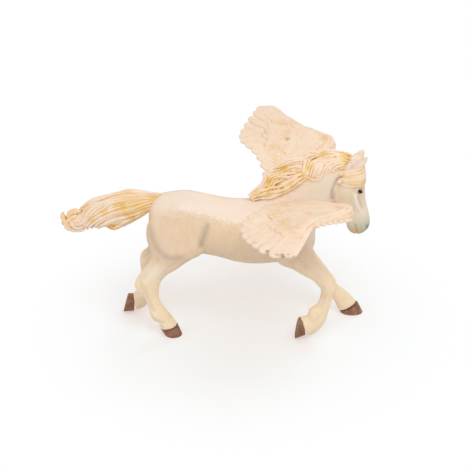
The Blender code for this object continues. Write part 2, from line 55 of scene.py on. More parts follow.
# Near the figurine: the share of the lamps' light that the table shows, and a glow that it keeps in any
# light. Their sum stays below white, a painted soft shadow, and their balance paints the shade pink.
TABLE_SHADED = (0.36, 0.56, 0.62)
TABLE_GLOW = (0.585, 0.405, 0.35)
SHADOW_MIDDLE = (0.015, 0.01, 0.0)
SHADOW_REACH = (0.052, 0.12)
ROOM_LIGHT = 0.60
LAMPS = (
    ("soft_box", (0.26, -0.62, 1.00), 0.75, 5.4),
    ("side_fill", (-0.9, -0.5, 0.45), 0.6, 1.3),
    ("back_rim", (0.45, 0.85, 0.85), 0.6, 2.2),
)


def shader_nodes(name):
    """A new material, its nodes and links, and its plastic shader."""
    material = bpy.data.materials.new(name)
    material.use_nodes = True
    nodes = material.node_tree.nodes
    return material, nodes, material.node_tree.links, nodes["Principled BSDF"]


def pick_for_camera(tree, others, camera_sees):
    """The first shader for light that bounces, and the second for what the camera sees itself."""
    pick = tree.nodes.new("ShaderNodeMixShader")
    rays = tree.nodes.new("ShaderNodeLightPath")
    tree.links.new(rays.outputs["Is Camera Ray"], pick.inputs["Fac"])
    tree.links.new(others.outputs[0], pick.inputs[1])
    tree.links.new(camera_sees.outputs[0], pick.inputs[2])
    return pick.outputs[0]


def look_from(thing, place, aim):
    """Stands a camera or a lamp at a place, and aims it."""
    thing.location = place
    thing.rotation_euler = (Vector(aim) - Vector(place)).to_track_quat("-Z", "Y").to_euler()


scene = bpy.context.scene
scene.view_settings.view_transform = "Standard"

bpy.ops.object.select_all(action="DESELECT")
bpy.ops.object.camera_add()
camera = bpy.context.object
camera.name = "camera"
camera.data.lens = CAMERA_LENS
camera.data.sensor_fit = "HORIZONTAL"
camera_back = Vector((0.0, -math.cos(CAMERA_RISE), math.sin(CAMERA_RISE)))
look_from(camera, CAMERA_AIM + camera_back * CAMERA_DISTANCE, CAMERA_AIM)
camera.data.clip_start = 0.01
camera.data.clip_end = 50.0
scene.camera = camera

for lamp_name, place, size, power in LAMPS:
    bpy.ops.object.light_add(type="AREA")
    lamp = bpy.context.object
    lamp.name = lamp_name
    lamp.data.shape = "DISK"
    lamp.data.size = size
    lamp.data.energy = power
    look_from(lamp, place, CAMERA_AIM)

bpy.ops.mesh.primitive_plane_add(size=TABLE_WIDTH, location=(0.0, 0.0, TABLE_DROP))
table = bpy.context.object
table.name = "table_top"
material, nodes, links, shader = shader_nodes("white_table")
shader.inputs["Base Color"].default_value = (TABLE_GREY, TABLE_GREY, TABLE_GREY, 1)
shader.inputs["Roughness"].default_value = TABLE_ROUGHNESS
shaded = nodes.new("ShaderNodeBsdfDiffuse")
shaded.inputs["Color"].default_value = (*TABLE_SHADED, 1)
glow = nodes.new("ShaderNodeEmission")
glow.inputs["Color"].default_value = (*TABLE_GLOW, 1)
both = nodes.new("ShaderNodeAddShader")
links.new(shaded.outputs[0], both.inputs[0])
links.new(glow.outputs[0], both.inputs[1])
away = nodes.new("ShaderNodeVectorMath")
away.operation = "DISTANCE"
away.inputs[1].default_value = SHADOW_MIDDLE
links.new(nodes.new("ShaderNodeTexCoord").outputs["Object"], away.inputs[0])
# The painted soft shadow fades out to paper white away from the figurine.
painted_shadow_fade = nodes.new("ShaderNodeMapRange")
painted_shadow_fade.interpolation_type = "SMOOTHSTEP"
painted_shadow_fade.inputs["From Min"].default_value, painted_shadow_fade.inputs["From Max"].default_value = SHADOW_REACH
links.new(away.outputs["Value"], painted_shadow_fade.inputs["Value"])
paper = nodes.new("ShaderNodeEmission")
paper.inputs["Color"].default_value = (1, 1, 1, 1)
top = nodes.new("ShaderNodeMixShader")
links.new(painted_shadow_fade.outputs["Result"], top.inputs["Fac"])
links.new(both.outputs[0], top.inputs[1])
links.new(paper.outputs[0], top.inputs[2])
links.new(pick_for_camera(material.node_tree, shader, top), nodes["Material Output"].inputs["Surface"])
table.data.materials.append(material)

world = bpy.data.worlds.new("white_room")
world.use_nodes = True
scene.world = world
nodes, links = world.node_tree.nodes, world.node_tree.links
room = nodes["Background"]
room.inputs["Color"].default_value = (1, 1, 1, 1)
room.inputs["Strength"].default_value = ROOM_LIGHT
paper = nodes.new("ShaderNodeBackground")
paper.inputs["Color"].default_value = (1, 1, 1, 1)
links.new(pick_for_camera(world.node_tree, room, paper), nodes["World Output"].inputs["Surface"])


# The horse's body: trunk, neck, head, ears and legs in one moulding of cream vinyl. It is lofted
# from the sculptor's side view in millimetres, fused, and then worked over with a modelling tool
# that carves creases and raises bones. Thin tan paint is sprayed on by hand along the lower body.
# The creases and hollows get painted lilac and grey shade, and the raised places painted highlights.
MM = 0.001
TABLE_TO_FRAME = Matrix.Scale(MM, 4) @ Matrix.Translation((9.24, 0.07, 0.0))
RING_SIDES = 36
BARREL_HALF_WIDTH = 13.4
WIDEST_HEIGHT = 0.46
SKIN_GRAIN = 0.32
SKIN_ROUNDS = 14
SKIN_HOLLOWS = (40, 0.3)
SKIN_TRIANGLES = 185000
TRUNK = (
    (-41.8, 67.5, 59.0, 0.30),
    (-40.4, 70.6, 54.5, 0.60),
    (-37.4, 73.2, 49.5, 0.78),
    (-33.0, 74.7, 45.6, 0.87),
    (-27.0, 75.6, 43.8, 0.91),
    (-21.0, 75.4, 43.0, 0.90),
    (-14.0, 73.9, 42.5, 0.88),
    (-7.0, 72.2, 40.9, 0.92),
    (0.0, 71.2, 38.9, 0.99),
    (8.0, 71.3, 37.6, 1.00),
    (15.0, 72.0, 37.6, 0.97),
    (22.0, 71.4, 38.4, 0.90),
    (29.0, 68.0, 40.2, 0.83),
    (35.0, 63.0, 42.8, 0.70),
    (38.4, 58.5, 46.0, 0.46),
    (39.4, 54.0, 49.5, 0.16),
)
NECK = (
    (6.0, 69.5, 32.0, 45.0, 0.0, 9.0),
    (12.5, 72.8, 38.4, 52.0, 0.0, 9.6),
    (19.0, 78.6, 41.0, 60.5, 0.0, 8.4),
    (25.5, 84.6, 44.0, 66.4, -0.2, 7.3),
    (32.5, 89.6, 48.0, 70.4, -0.5, 6.6),
    (40.5, 92.8, 50.8, 75.4, -0.8, 6.2),
    (48.0, 93.6, 53.0, 80.5, -1.0, 5.5),
    (54.0, 93.2, 57.0, 83.5, -1.0, 4.6),
)
HEAD = (
    (56.0, 95.0, 50.5, 91.6, -1.0, 3.0),
    (59.4, 92.8, 48.4, 87.6, -1.1, 5.0),
    (61.4, 87.8, 47.2, 82.6, -1.6, 6.1),
    (62.1, 82.4, 46.4, 77.8, -2.4, 6.5),
    (62.3, 78.0, 46.6, 73.4, -3.1, 6.2),
    (62.7, 73.8, 49.0, 69.6, -3.8, 5.2),
    (63.6, 70.2, 51.6, 66.8, -4.4, 4.4),
    (64.5, 66.9, 53.2, 64.2, -5.0, 4.1),
    (65.2, 63.4, 53.7, 61.4, -5.5, 4.3),
    (64.8, 60.6, 54.5, 59.0, -5.8, 4.2),
    (63.3, 58.2, 56.1, 57.2, -6.0, 3.3),
    (61.2, 56.8, 58.2, 56.5, -6.0, 1.6),
)
RIGHT_EAR = ((53.2, -5.0, 88.9), (9.0, -0.2, 7.6))
LEFT_EAR = ((54.9, 4.1, 89.3), (6.8, 0.8, 6.4))
EAR_HALF_WIDTH = 2.45
EAR_HALF_THICKNESS = 1.4
EAR_CURL = 0.9
EAR_WIDTHS = ((-0.15, 0.8), (0.1, 0.95), (0.35, 1.02), (0.6, 0.94), (0.82, 0.66), (0.94, 0.36), (1.0, 0.12))
RIGHT_HIND = (
    (-18.0, 66.0, -38.0, 69.0, -5.5, 5.5),
    (-14.5, 58.0, -42.2, 62.0, -6.5, 6.5),
    (-13.5, 51.0, -43.2, 55.5, -7.3, 6.8),
    (-16.0, 46.4, -42.0, 49.5, -7.9, 6.6),
    (-20.5, 44.0, -40.8, 45.4, -8.4, 5.8),
    (-24.4, 41.3, -42.0, 42.4, -8.8, 4.7),
    (-28.4, 38.2, -44.0, 39.4, -9.0, 4.2),
    (-31.9, 36.0, -46.4, 35.8, -9.0, 3.8),
    (-35.0, 33.2, -48.8, 32.2, -9.0, 3.6),
    (-36.8, 30.2, -49.8, 28.6, -9.0, 3.5),
    (-37.7, 26.4, -48.6, 25.9, -9.0, 3.3),
    (-38.0, 22.6, -45.6, 22.4, -9.0, 2.8),
    (-37.2, 19.2, -44.3, 18.6, -9.0, 2.7),
    (-35.4, 16.0, -43.3, 14.8, -9.0, 2.9),
    (-33.8, 13.3, -42.5, 11.4, -9.0, 3.4),
    (-32.2, 11.2, -41.6, 9.0, -9.0, 3.4),
    (-30.9, 9.2, -38.6, 7.2, -9.0, 3.4),
    (-29.9, 7.2, -38.0, 5.2, -9.0, 3.6),
    (-29.3, 5.8, -37.6, 3.6, -9.0, 3.8),
)
LEFT_HIND = (
    (-18.0, 66.0, -38.0, 69.0, 5.5, 5.5),
    (-14.5, 58.0, -42.2, 62.0, 6.5, 6.5),
    (-13.5, 51.0, -42.8, 55.5, 7.3, 6.8),
    (-16.0, 46.0, -41.5, 49.5, 8.2, 6.6),
    (-20.5, 43.0, -40.6, 46.0, 8.9, 5.8),
    (-24.8, 40.0, -41.2, 43.2, 9.5, 4.8),
    (-29.2, 37.2, -43.2, 40.8, 10.1, 4.3),
    (-33.4, 34.4, -45.6, 38.2, 10.6, 3.9),
    (-36.6, 31.4, -47.9, 35.4, 11.0, 3.7),
    (-37.9, 28.6, -48.6, 30.8, 11.3, 3.4),
    (-39.4, 25.3, -48.4, 27.0, 11.6, 3.0),
    (-41.0, 21.1, -48.2, 22.1, 12.0, 2.7),
    (-42.0, 15.4, -48.8, 16.4, 12.5, 2.7),
    (-42.2, 10.6, -50.0, 12.9, 12.9, 3.2),
    (-44.6, 6.0, -50.3, 12.4, 13.1, 3.4),
    (-47.8, 2.6, -51.2, 12.0, 13.2, 3.3),
    (-51.4, 1.0, -53.0, 11.2, 13.4, 3.7),
)
RIGHT_FORE = (
    (37.0, 63.0, 21.0, 66.0, -5.5, 5.0),
    (38.4, 55.0, 17.0, 58.0, -6.5, 6.4),
    (38.0, 50.0, 16.0, 49.0, -7.4, 6.6),
    (38.8, 46.4, 20.5, 41.8, -8.2, 6.2),
    (40.3, 43.2, 27.4, 38.6, -8.8, 5.2),
    (43.2, 39.7, 33.0, 35.2, -9.4, 4.5),
    (47.2, 35.8, 37.9, 32.6, -9.9, 4.0),
    (49.8, 31.8, 41.0, 29.2, -10.3, 3.8),
    (50.1, 28.4, 42.4, 27.2, -10.6, 3.6),
    (48.9, 24.4, 42.4, 24.2, -10.8, 3.0),
    (47.9, 20.4, 41.6, 20.8, -11.0, 2.7),
    (47.0, 16.4, 40.0, 18.0, -11.3, 2.8),
    (46.2, 12.4, 37.0, 16.2, -11.5, 3.3),
    (44.9, 8.6, 36.4, 13.6, -11.7, 3.4),
    (42.6, 5.2, 35.7, 12.4, -11.8, 3.3),
    (39.9, 2.9, 33.8, 11.9, -11.9, 3.6),
    (37.2, 1.6, 32.6, 11.6, -12.0, 3.9),
)
LEFT_FORE = (
    (37.0, 63.0, 21.0, 66.0, 5.5, 5.0),
    (38.4, 55.0, 17.0, 58.0, 6.5, 6.4),
    (37.6, 49.6, 16.0, 49.0, 7.4, 6.6),
    (37.8, 45.0, 20.5, 41.0, 8.2, 6.2),
    (38.6, 41.4, 27.4, 36.6, 8.8, 5.2),
    (40.4, 37.2, 32.6, 32.0, 9.4, 4.5),
    (43.4, 32.6, 36.8, 28.0, 9.8, 4.0),
    (46.6, 28.0, 40.4, 24.0, 10.2, 3.8),
    (49.0, 24.0, 43.0, 20.8, 10.6, 3.3),
    (50.8, 20.4, 46.0, 17.4, 11.0, 2.7),
    (53.0, 17.0, 48.8, 13.4, 11.4, 2.7),
    (55.8, 14.3, 50.4, 9.2, 11.9, 3.2),
    (58.6, 11.8, 52.2, 6.2, 12.1, 3.5),
    (61.0, 9.2, 53.2, 3.4, 12.3, 3.5),
    (63.2, 6.6, 54.4, 1.2, 12.4, 3.7),
)

# The modelling tool's strokes: the side that it works from, -1 right, 1 left and 0 both, the range
# across the body, its reach, how far it pushes out or in, how much painted shade it leaves (a painted
# highlight where it is negative), and its path
BOTH, RIGHT, LEFT = 0, -1, 1
WHOLE = (-30.0, 30.0)
RIGHT_HALF = (-30.0, 0.0)
LEFT_HALF = (0.0, 30.0)
OFF_MIDDLE = (3.0, 30.0)
HAUNCHES = (4.0, 30.0)
STROKE_FALL = 1.6
STROKE_SLANT = 1.6
LEAST_FACING = 0.05
STROKES = (
    # hindquarters and flank
    (BOTH, HAUNCHES, 2.6, -0.55, 0.50, ((-41.5, 60), (-40.2, 55.6), (-38, 51), (-34.5, 47.4),
     (-30.5, 46), (-26.5, 46.4))),
    (BOTH, HAUNCHES, 3.6, 0.45, 0.0, ((-37.5, 61), (-36.5, 55.5), (-34, 51.5), (-30, 49.8), (-25, 50))),
    (BOTH, HAUNCHES, 1.9, -0.45, 0.36, ((-13.2, 62.5), (-14.6, 58.0), (-15.7, 54.6), (-16.4, 52.2))),
    (BOTH, HAUNCHES, 2.4, 0.35, 0.0, ((-17.6, 62), (-18.4, 57.5), (-19.4, 52))),
    (BOTH, HAUNCHES, 2.2, 0.25, 0.0, ((-10.4, 62), (-11.6, 57), (-12.6, 52.5))),
    (BOTH, OFF_MIDDLE, 4.5, 0.5, 0.0, ((-24.5, 70.2), (-22.5, 69.8))),
    (BOTH, OFF_MIDDLE, 2.4, -0.3, 0.05, ((-30, 72), (-35, 66), (-37.5, 60.5))),
    (BOTH, OFF_MIDDLE, 3.4, -0.25, 0.0, ((-25, 66), (-27.5, 58), (-29, 52))),
    # shoulder, breast and elbow
    (BOTH, OFF_MIDDLE, 4.5, 0.5, 0.0, ((23, 72), (28.5, 62), (33.5, 54))),
    (BOTH, OFF_MIDDLE, 3.2, -0.4, 0.1, ((12.5, 68), (15.5, 59), (16.5, 50), (19, 45))),
    (BOTH, OFF_MIDDLE, 2.4, -0.4, 0.2, ((33.5, 56), (32.6, 50), (30.6, 47), (27.5, 44.6))),
    (BOTH, OFF_MIDDLE, 1.8, -0.3, 0.15, ((39, 67), (36.5, 62), (36.4, 57))),
    (BOTH, OFF_MIDDLE, 3.0, 0.35, 0.0, ((34, 47.5), (37.5, 42.5))),
    (RIGHT, (-30.0, -4.0), 1.6, -0.28, 0.14, ((33.5, 44.5), (37.5, 39.6), (41.6, 35.4))),
    (RIGHT, (-30.0, -4.0), 1.2, -0.2, 0.12, ((30.4, 46.6), (33.0, 43.0), (34.4, 41.0))),
    (LEFT, (4.0, 30.0), 1.6, -0.28, 0.25, ((33, 42.5), (37, 36.6), (40.4, 31.5))),
    # right hind leg
    (BOTH, RIGHT_HALF, 1.6, -0.42, 0.22, ((-38.0, 44.6), (-41.0, 40.6), (-43.6, 37), (-45.4, 34))),
    (BOTH, RIGHT_HALF, 1.6, 0.3, -0.15, ((-40.4, 45), (-43.6, 41), (-46.4, 36.4))),
    (BOTH, RIGHT_HALF, 1.3, -0.2, 0.15, ((-29.5, 43), (-33, 39.5), (-36.2, 36))),
    (BOTH, RIGHT_HALF, 2.2, 0.3, 0.0, ((-44.0, 31.5), (-42.6, 28.5))),
    (BOTH, RIGHT_HALF, 1.1, -0.25, 0.15, ((-47.2, 33.4), (-46.4, 30.0), (-44.6, 26.6))),
    (BOTH, RIGHT_HALF, 1.0, -0.26, 0.18, ((-44.0, 26), (-42.8, 22), (-42.0, 18.5), (-40.6, 15.2))),
    (BOTH, RIGHT_HALF, 0.9, -0.3, 0.14, ((-41.4, 10.6), (-39.4, 9.6), (-37.6, 8.8), (-35.6, 8.4))),
    (BOTH, RIGHT_HALF, 1.6, 0.3, -0.2, ((-41.0, 13.4), (-39.4, 12.2))),
    (BOTH, RIGHT_HALF, 1.5, 0.22, -0.2, ((-37.0, 7.4), (-34.0, 6.6), (-30.5, 6.6))),
    # left hind leg
    (BOTH, LEFT_HALF, 1.6, -0.42, 0.22, ((-37.5, 46), (-40.2, 42.5), (-43.0, 39), (-45.2, 35.4))),
    (BOTH, LEFT_HALF, 2.2, 0.3, 0.0, ((-45.2, 32), (-44.2, 29.5))),
    (BOTH, LEFT_HALF, 1.0, -0.26, 0.18, ((-46.4, 27), (-46.0, 21.5), (-46.6, 16.5), (-47.2, 13))),
    (BOTH, LEFT_HALF, 1.6, 0.3, -0.2, ((-47.2, 12.0), (-48.6, 9.5))),
    # right foreleg
    (BOTH, RIGHT_HALF, 2.4, 0.3, 0.0, ((46.6, 31.2), (46.2, 28.4))),
    (BOTH, RIGHT_HALF, 1.2, -0.25, 0.2, ((43.2, 30.2), (43.8, 27.6))),
    (BOTH, RIGHT_HALF, 1.0, -0.26, 0.18, ((44.6, 26), (43.8, 21.8), (42.4, 18))),
    (BOTH, RIGHT_HALF, 1.6, 0.35, -0.15, ((39.8, 16.4), (39.0, 14.6))),
    (BOTH, RIGHT_HALF, 0.9, -0.3, 0.10, ((42.0, 13.8), (40.4, 11.4), (38.4, 10.4))),
    # left foreleg
    (BOTH, LEFT_HALF, 2.4, 0.3, 0.0, ((44.4, 26.4), (46.2, 23.6))),
    (BOTH, LEFT_HALF, 1.0, -0.26, 0.18, ((46.2, 21.4), (48.6, 17.4), (51.0, 13.4))),
    (BOTH, LEFT_HALF, 1.7, 0.4, -0.15, ((52.4, 8.4), (54.0, 6.0))),
    # cheek, throat and jaw
    (BOTH, WHOLE, 4.6, 0.7, 0.0, ((51.6, 82.4), (51.8, 79.0))),
    (BOTH, WHOLE, 1.0, -0.55, 0.55, ((48.4, 85.4), (47.0, 82.4), (46.2, 78.6), (46.2, 74.6))),
    (BOTH, WHOLE, 1.1, 0.3, 0.0, ((47.8, 79.6), (48.2, 75.6), (50.0, 72.0), (52.6, 68.4))),
    (BOTH, WHOLE, 2.0, -0.3, 0.15, ((54.6, 76.0), (55.4, 71.5), (56.6, 67.6))),
    # eye socket, lids and cheekbone
    (BOTH, WHOLE, 2.4, -0.55, 0.25, ((59.0, 79.6), (60.2, 79.3))),
    (BOTH, WHOLE, 0.65, 0.55, 0.1, ((57.7, 80.1), (58.8, 80.9), (60.0, 80.7), (61.1, 79.8))),
    (BOTH, WHOLE, 0.55, 0.40, 0.1, ((57.9, 79.6), (58.8, 78.5), (59.9, 78.1), (61.0, 78.8))),
    (BOTH, WHOLE, 1.0, 0.6, -0.6, ((57.0, 78.2), (57.5, 75.6), (58.4, 72.8), (59.4, 70.6))),
    (BOTH, WHOLE, 1.0, -0.4, 0.35, ((58.8, 76.6), (59.8, 73.8), (60.8, 71.2))),
    (BOTH, WHOLE, 1.2, -0.22, 0.05, ((61.2, 77.0), (62.0, 72.0), (63.0, 67.6))),
    # nostril, lips and chin
    (BOTH, WHOLE, 1.9, 0.35, 0.0, ((62.4, 63.0), (63.4, 60.6))),
    (BOTH, WHOLE, 0.75, -0.8, 1.0, ((63.4, 62.0), (63.6, 61.0), (63.1, 60.4))),
    (BOTH, WHOLE, 0.5, -0.6, 0.9, ((57.6, 62.6), (58.0, 60.8), (58.5, 58.8), (58.7, 56.6))),
    (BOTH, WHOLE, 1.2, 0.25, 0.0, ((55.6, 61.4), (56.6, 58.8))),
    # hollows of the ears
    (RIGHT, (-30.0, -3.0), 1.5, -0.9, 0.40, ((55.2, 91.2), (57.4, 92.9), (59.6, 94.8))),
    (LEFT, (3.0, 30.0), 1.3, -0.4, 0.30, ((56.4, 90.8), (58.2, 92.2), (60.0, 93.6))),
)
SPRAY_EDGE = (
    (-60, 67), (-40, 68), (-33, 69), (-26, 70.2), (-20.7, 69), (-15.7, 68), (-10.6, 66.4),
    (-6.6, 65.1), (-1, 63.9), (3.5, 63.4), (14, 63), (24, 60), (34, 54), (42, 50), (80, 48),
)
SPRAY_FADE = ((-36, 5.5), (-27, 2.2), (15, 1.6), (32, 9.0))
SCUFF_PATH = (
    (-26, 71), (-20.7, 69), (-15.7, 68), (-10.6, 66.4), (-6.6, 65.2), (-1, 64), (4, 63.2), (10, 62.8),
)
SCUFF_REACH = 2.6


def between(rows, share):
    """The point at this share of a smooth curve through the rows, by Catmull and Rom's rule."""
    rows = [Vector(row) for row in rows]
    rows = [rows[0] * 2 - rows[1], *rows, rows[-1] * 2 - rows[-2]]
    spans = len(rows) - 3
    span = min(int(share * spans), spans - 1)
    t = share * spans - span
    a, b, c, d = rows[span : span + 4]
    bend = (a * 2 - b * 5 + c * 4 - d) * t**2 + (b * 3 - a - c * 3 + d) * t**3
    return (b * 2 + (c - a) * t + bend) / 2


def smooth_rows(rows, per_span):
    count = (len(rows) - 1) * per_span
    return [between(rows, k / count) for k in range(count + 1)]


def oval(centre, across, up, down):
    """A ring of points whose half axes are vectors, with one for each half of its height."""
    points = []
    for k in range(RING_SIDES):
        turn = math.tau * k / RING_SIDES
        rise = math.sin(turn)
        points.append(centre + across * math.cos(turn) + (up if rise > 0 else down) * rise)
    return points


def loft(rings):
    """A closed skin over rings of points."""
    skin = bmesh.new()
    loops = [[skin.verts.new(point) for point in ring] for ring in rings]
    for first, second in zip(loops, loops[1:]):
        for k in range(len(first)):
            after = (k + 1) % len(first)
            skin.faces.new((first[k], first[after], second[after], second[k]))
    skin.faces.new(loops[0])
    skin.faces.new(loops[-1])
    bmesh.ops.recalc_face_normals(skin, faces=skin.faces)
    mesh = bpy.data.meshes.new("loft")
    skin.to_mesh(mesh)
    skin.free()
    return mesh


def profile_ring(row, widest=WIDEST_HEIGHT):
    """The section between an upper and a lower point of the side view, with its lean and half width."""
    high, low = Vector((row[0], row[4], row[1])), Vector((row[2], row[4], row[3]))
    centre = low.lerp(high, widest)
    return oval(centre, Vector((0, row[5], 0)), high - centre, centre - low)


def profile(rows, per_span):
    """A limb, neck or head, skinned over its sections."""
    return loft([profile_ring(row, 0.5) for row in smooth_rows(rows, per_span)])


def trunk():
    """The barrel, from the buttocks to the chest."""
    rings = []
    for x, back, belly, share in smooth_rows(TRUNK, 5):
        rings.append(profile_ring((x, back, x, belly, 0.0, share * BARREL_HALF_WIDTH)))
    return loft(rings)


def ear(base, reach):
    """An ear: a leaf that curls forward, from its base to its tip."""
    base, length, aim = Vector(base), Vector(reach).length, Vector(reach).normalized()
    across = Vector((0, 1, 0)).cross(aim).normalized()
    thick = aim.cross(across)
    rings = []
    for share, width in smooth_rows(EAR_WIDTHS, 3):
        centre = base + aim * (share * length) + across * (EAR_CURL * math.sin(share * 3))
        flat = thick * (EAR_HALF_THICKNESS * width)
        rings.append(oval(centre, across * (EAR_HALF_WIDTH * width), flat, flat))
    return loft(rings)


def choose(thing):
    """Makes this the only selected object, and the active one."""
    bpy.ops.object.select_all(action="DESELECT")
    thing.select_set(True)
    bpy.context.view_layer.objects.active = thing


def add_piece(name, shapes):
    """One object that holds all the shapes."""
    clay = bmesh.new()
    for shape in shapes:
        clay.from_mesh(shape)
        bpy.data.meshes.remove(shape)
    mesh = bpy.data.meshes.new(name)
    clay.to_mesh(mesh)
    clay.free()
    thing = bpy.data.objects.new(name, mesh)
    scene.collection.objects.link(thing)
    return thing


def press(thing, kind, **settings):
    """Adds a modifier with these settings and applies it."""
    choose(thing)
    step = thing.modifiers.new(kind.lower(), kind)
    for key, value in settings.items():
        setattr(step, key, value)
    bpy.ops.object.modifier_apply(modifier=step.name)


def fuse(thing, grain, rounds):
    """Fuses all that overlaps into one closed skin, and smooths it where its shapes meet."""
    press(thing, "REMESH", mode="VOXEL", voxel_size=grain, use_smooth_shade=True)
    press(thing, "SMOOTH", factor=0.5, iterations=rounds)


def thin_out(thing, triangles):
    """Thins the mesh to about so many triangles, where it has more."""
    have = 2 * len(thing.data.polygons)
    if have > triangles:
        press(thing, "DECIMATE", ratio=triangles / have, use_collapse_triangulate=True)


def points_of(mesh, field="co"):
    """The mesh's points, or another field of them, as rows of three numbers."""
    rows = np.empty(len(mesh.vertices) * 3)
    mesh.vertices.foreach_get(field, rows)
    return rows.reshape(-1, 3)


def normals_of(mesh):
    rows = np.empty(len(mesh.vertices) * 3, np.float32)
    mesh.vertex_normals.foreach_get("vector", rows)
    return rows.reshape(-1, 3).astype(float)


def note(mesh, name, values):
    """Keeps one number a point on the mesh, for a material to read."""
    layer = mesh.attributes.get(name) or mesh.attributes.new(name, "FLOAT", "POINT")
    layer.data.foreach_set("value", values.astype(np.float32))


def distance_to_path(flat, path):
    """How far each point of the side view lies from a line through the path's points."""
    nearest = np.full(len(flat), np.inf)
    for start, end in zip(path, path[1:]):
        start, step = np.array(start, float), np.array(end, float) - np.array(start, float)
        share = np.clip((flat - start) @ step / (step @ step), 0, 1)
        nearest = np.minimum(nearest, np.linalg.norm(flat - start - share[:, None] * step, axis=1))
    return nearest


def stroke_weight(spots, normals, side, across, reach, path):
    """How strongly a stroke along the path works on each point, from 0 to 1."""
    path = [tuple(point) for point in smooth_rows([(x, z, 0) for x, z in path], 4)]
    weight = np.zeros(len(spots))
    near = (spots[:, 1] > across[0]) & (spots[:, 1] < across[1])
    facing = np.abs(normals[:, 1]) if side == BOTH else normals[:, 1] * side
    near &= facing > LEAST_FACING
    far = distance_to_path(spots[near][:, (0, 2)], [point[:2] for point in path])
    weight[near] = np.exp(-((far / reach) ** 2) * STROKE_FALL) * np.clip(facing[near] * STROKE_SLANT, 0, 1)
    return weight


def mirrored(across):
    return (-across[1], -across[0])


def work_over(thing, strokes):
    """Carves and raises the skin along the strokes, and notes the shade that they leave."""
    mesh = thing.data
    shade = np.zeros(len(mesh.vertices))
    for side, across, reach, push, tone, path in strokes:
        spots, normals = points_of(mesh), normals_of(mesh)
        weight = stroke_weight(spots, normals, side, across, reach, path)
        if side == BOTH and across[0] > 0:
            weight += stroke_weight(spots, normals, side, mirrored(across), reach, path)
        spots += normals * (weight * push)[:, None]
        shade += weight * tone
        mesh.vertices.foreach_set("co", spots.ravel())
        mesh.update()
    note(mesh, "shade", shade)


def note_hollows(thing, rounds, depth):
    """Notes at each point how far it lies below its surroundings: thin paint gathers in the hollows, the
    skin's hollows take painted shade, and the wings' ridges a painted highlight.
    """
    mesh = thing.data
    spots, normals = points_of(mesh), normals_of(mesh)
    ends = np.empty(len(mesh.edges) * 2, np.int32)
    mesh.edges.foreach_get("vertices", ends)
    one, two = ends.reshape(-1, 2).T
    count = len(spots)
    meeting = (np.bincount(one, minlength=count) + np.bincount(two, minlength=count))[:, None]
    soft = spots.copy()
    for _ in range(rounds):
        total = np.empty_like(soft)
        for k in range(3):
            total[:, k] = np.bincount(one, soft[two, k], count) + np.bincount(two, soft[one, k], count)
        soft = (soft + total / meeting) / 2
    note(mesh, "hollow", np.clip(((soft - spots) * normals).sum(1) / depth, -1, 1))


def to_frame(thing):
    """Takes the piece from the sculptor's millimetres to its place in the frame, in metres."""
    thing.data.transform(TABLE_TO_FRAME)
    choose(thing)
    bpy.ops.object.shade_smooth()


def new_group(name, inputs, outputs):
    """A node group with these named inputs and outputs, and its end nodes."""
    group = bpy.data.node_groups.new(name, "ShaderNodeTree")
    for label, kind, value in inputs:
        socket = group.interface.new_socket(label, in_out="INPUT", socket_type=kind)
        socket.default_value = value
    for label, kind in outputs:
        group.interface.new_socket(label, in_out="OUTPUT", socket_type=kind)
    return group, group.nodes.new("NodeGroupInput"), group.nodes.new("NodeGroupOutput")


def node(tree, kind, **settings):
    made = tree.nodes.new(kind)
    for key, value in settings.items():
        setattr(made, key, value)
    return made


def blend(tree, share, low, high):
    """A mix of two colours, each a socket or a plain colour, by a share that is a socket."""
    mix = node(tree, "ShaderNodeMix", data_type="RGBA")
    for key, value in ((0, share), (6, low), (7, high)):
        if isinstance(value, bpy.types.NodeSocket):
            tree.links.new(value, mix.inputs[key])
        else:
            mix.inputs[key].default_value = value if key == 0 else (*value[:3], 1)
    return mix.outputs[2]


def sums(tree, operation, *values, clamp=False):
    """A Math node over sockets or plain numbers."""
    made = node(tree, "ShaderNodeMath", operation=operation, use_clamp=clamp)
    for key, value in enumerate(values):
        if isinstance(value, bpy.types.NodeSocket):
            tree.links.new(value, made.inputs[key])
        else:
            made.inputs[key].default_value = value
    return made.outputs[0]


def times(tree, one, two):
    """The product of two values, each a socket or a plain number."""
    return sums(tree, "MULTIPLY", one, two)


def layer(tree, colour, cover, strength, paint):
    """The colour under a layer of paint, where the cover lets it lie."""
    return blend(tree, times(tree, cover, strength), colour, paint)


def ramp(tree, value, low, high, smooth=True):
    """0 below low and 1 above high."""
    made = node(tree, "ShaderNodeMapRange", interpolation_type="SMOOTHSTEP" if smooth else "LINEAR")
    tree.links.new(value, made.inputs["Value"])
    made.inputs["From Min"].default_value = low
    made.inputs["From Max"].default_value = high
    return made.outputs["Result"]


def noise(tree, scale, detail=4.0, stretch=None, place=None):
    """Noise over Object coordinates, stretched along an axis where asked."""
    if place is None:
        place = node(tree, "ShaderNodeTexCoord").outputs["Object"]
    if stretch:
        turn = node(tree, "ShaderNodeMapping")
        turn.inputs["Scale"].default_value = stretch
        tree.links.new(place, turn.inputs["Vector"])
        place = turn.outputs[0]
    made = node(tree, "ShaderNodeTexNoise")
    made.inputs["Scale"].default_value = scale
    made.inputs["Detail"].default_value = detail
    tree.links.new(place, made.inputs["Vector"])
    return made.outputs["Fac"]


def reading(tree, name):
    """What the piece's mesh notes under this name."""
    return node(tree, "ShaderNodeAttribute", attribute_name=name).outputs["Fac"]


def place_group(tree, group, **values):
    """The group as a node in this tree. A value is a socket, a number or a colour."""
    made = node(tree, "ShaderNodeGroup", node_tree=group)
    for key, value in values.items():
        socket = made.inputs[key.replace("_", " ").capitalize()]
        if isinstance(value, bpy.types.NodeSocket):
            tree.links.new(value, socket)
        elif isinstance(value, tuple):
            socket.default_value = (*value, 1)
        else:
            socket.default_value = value
    return made


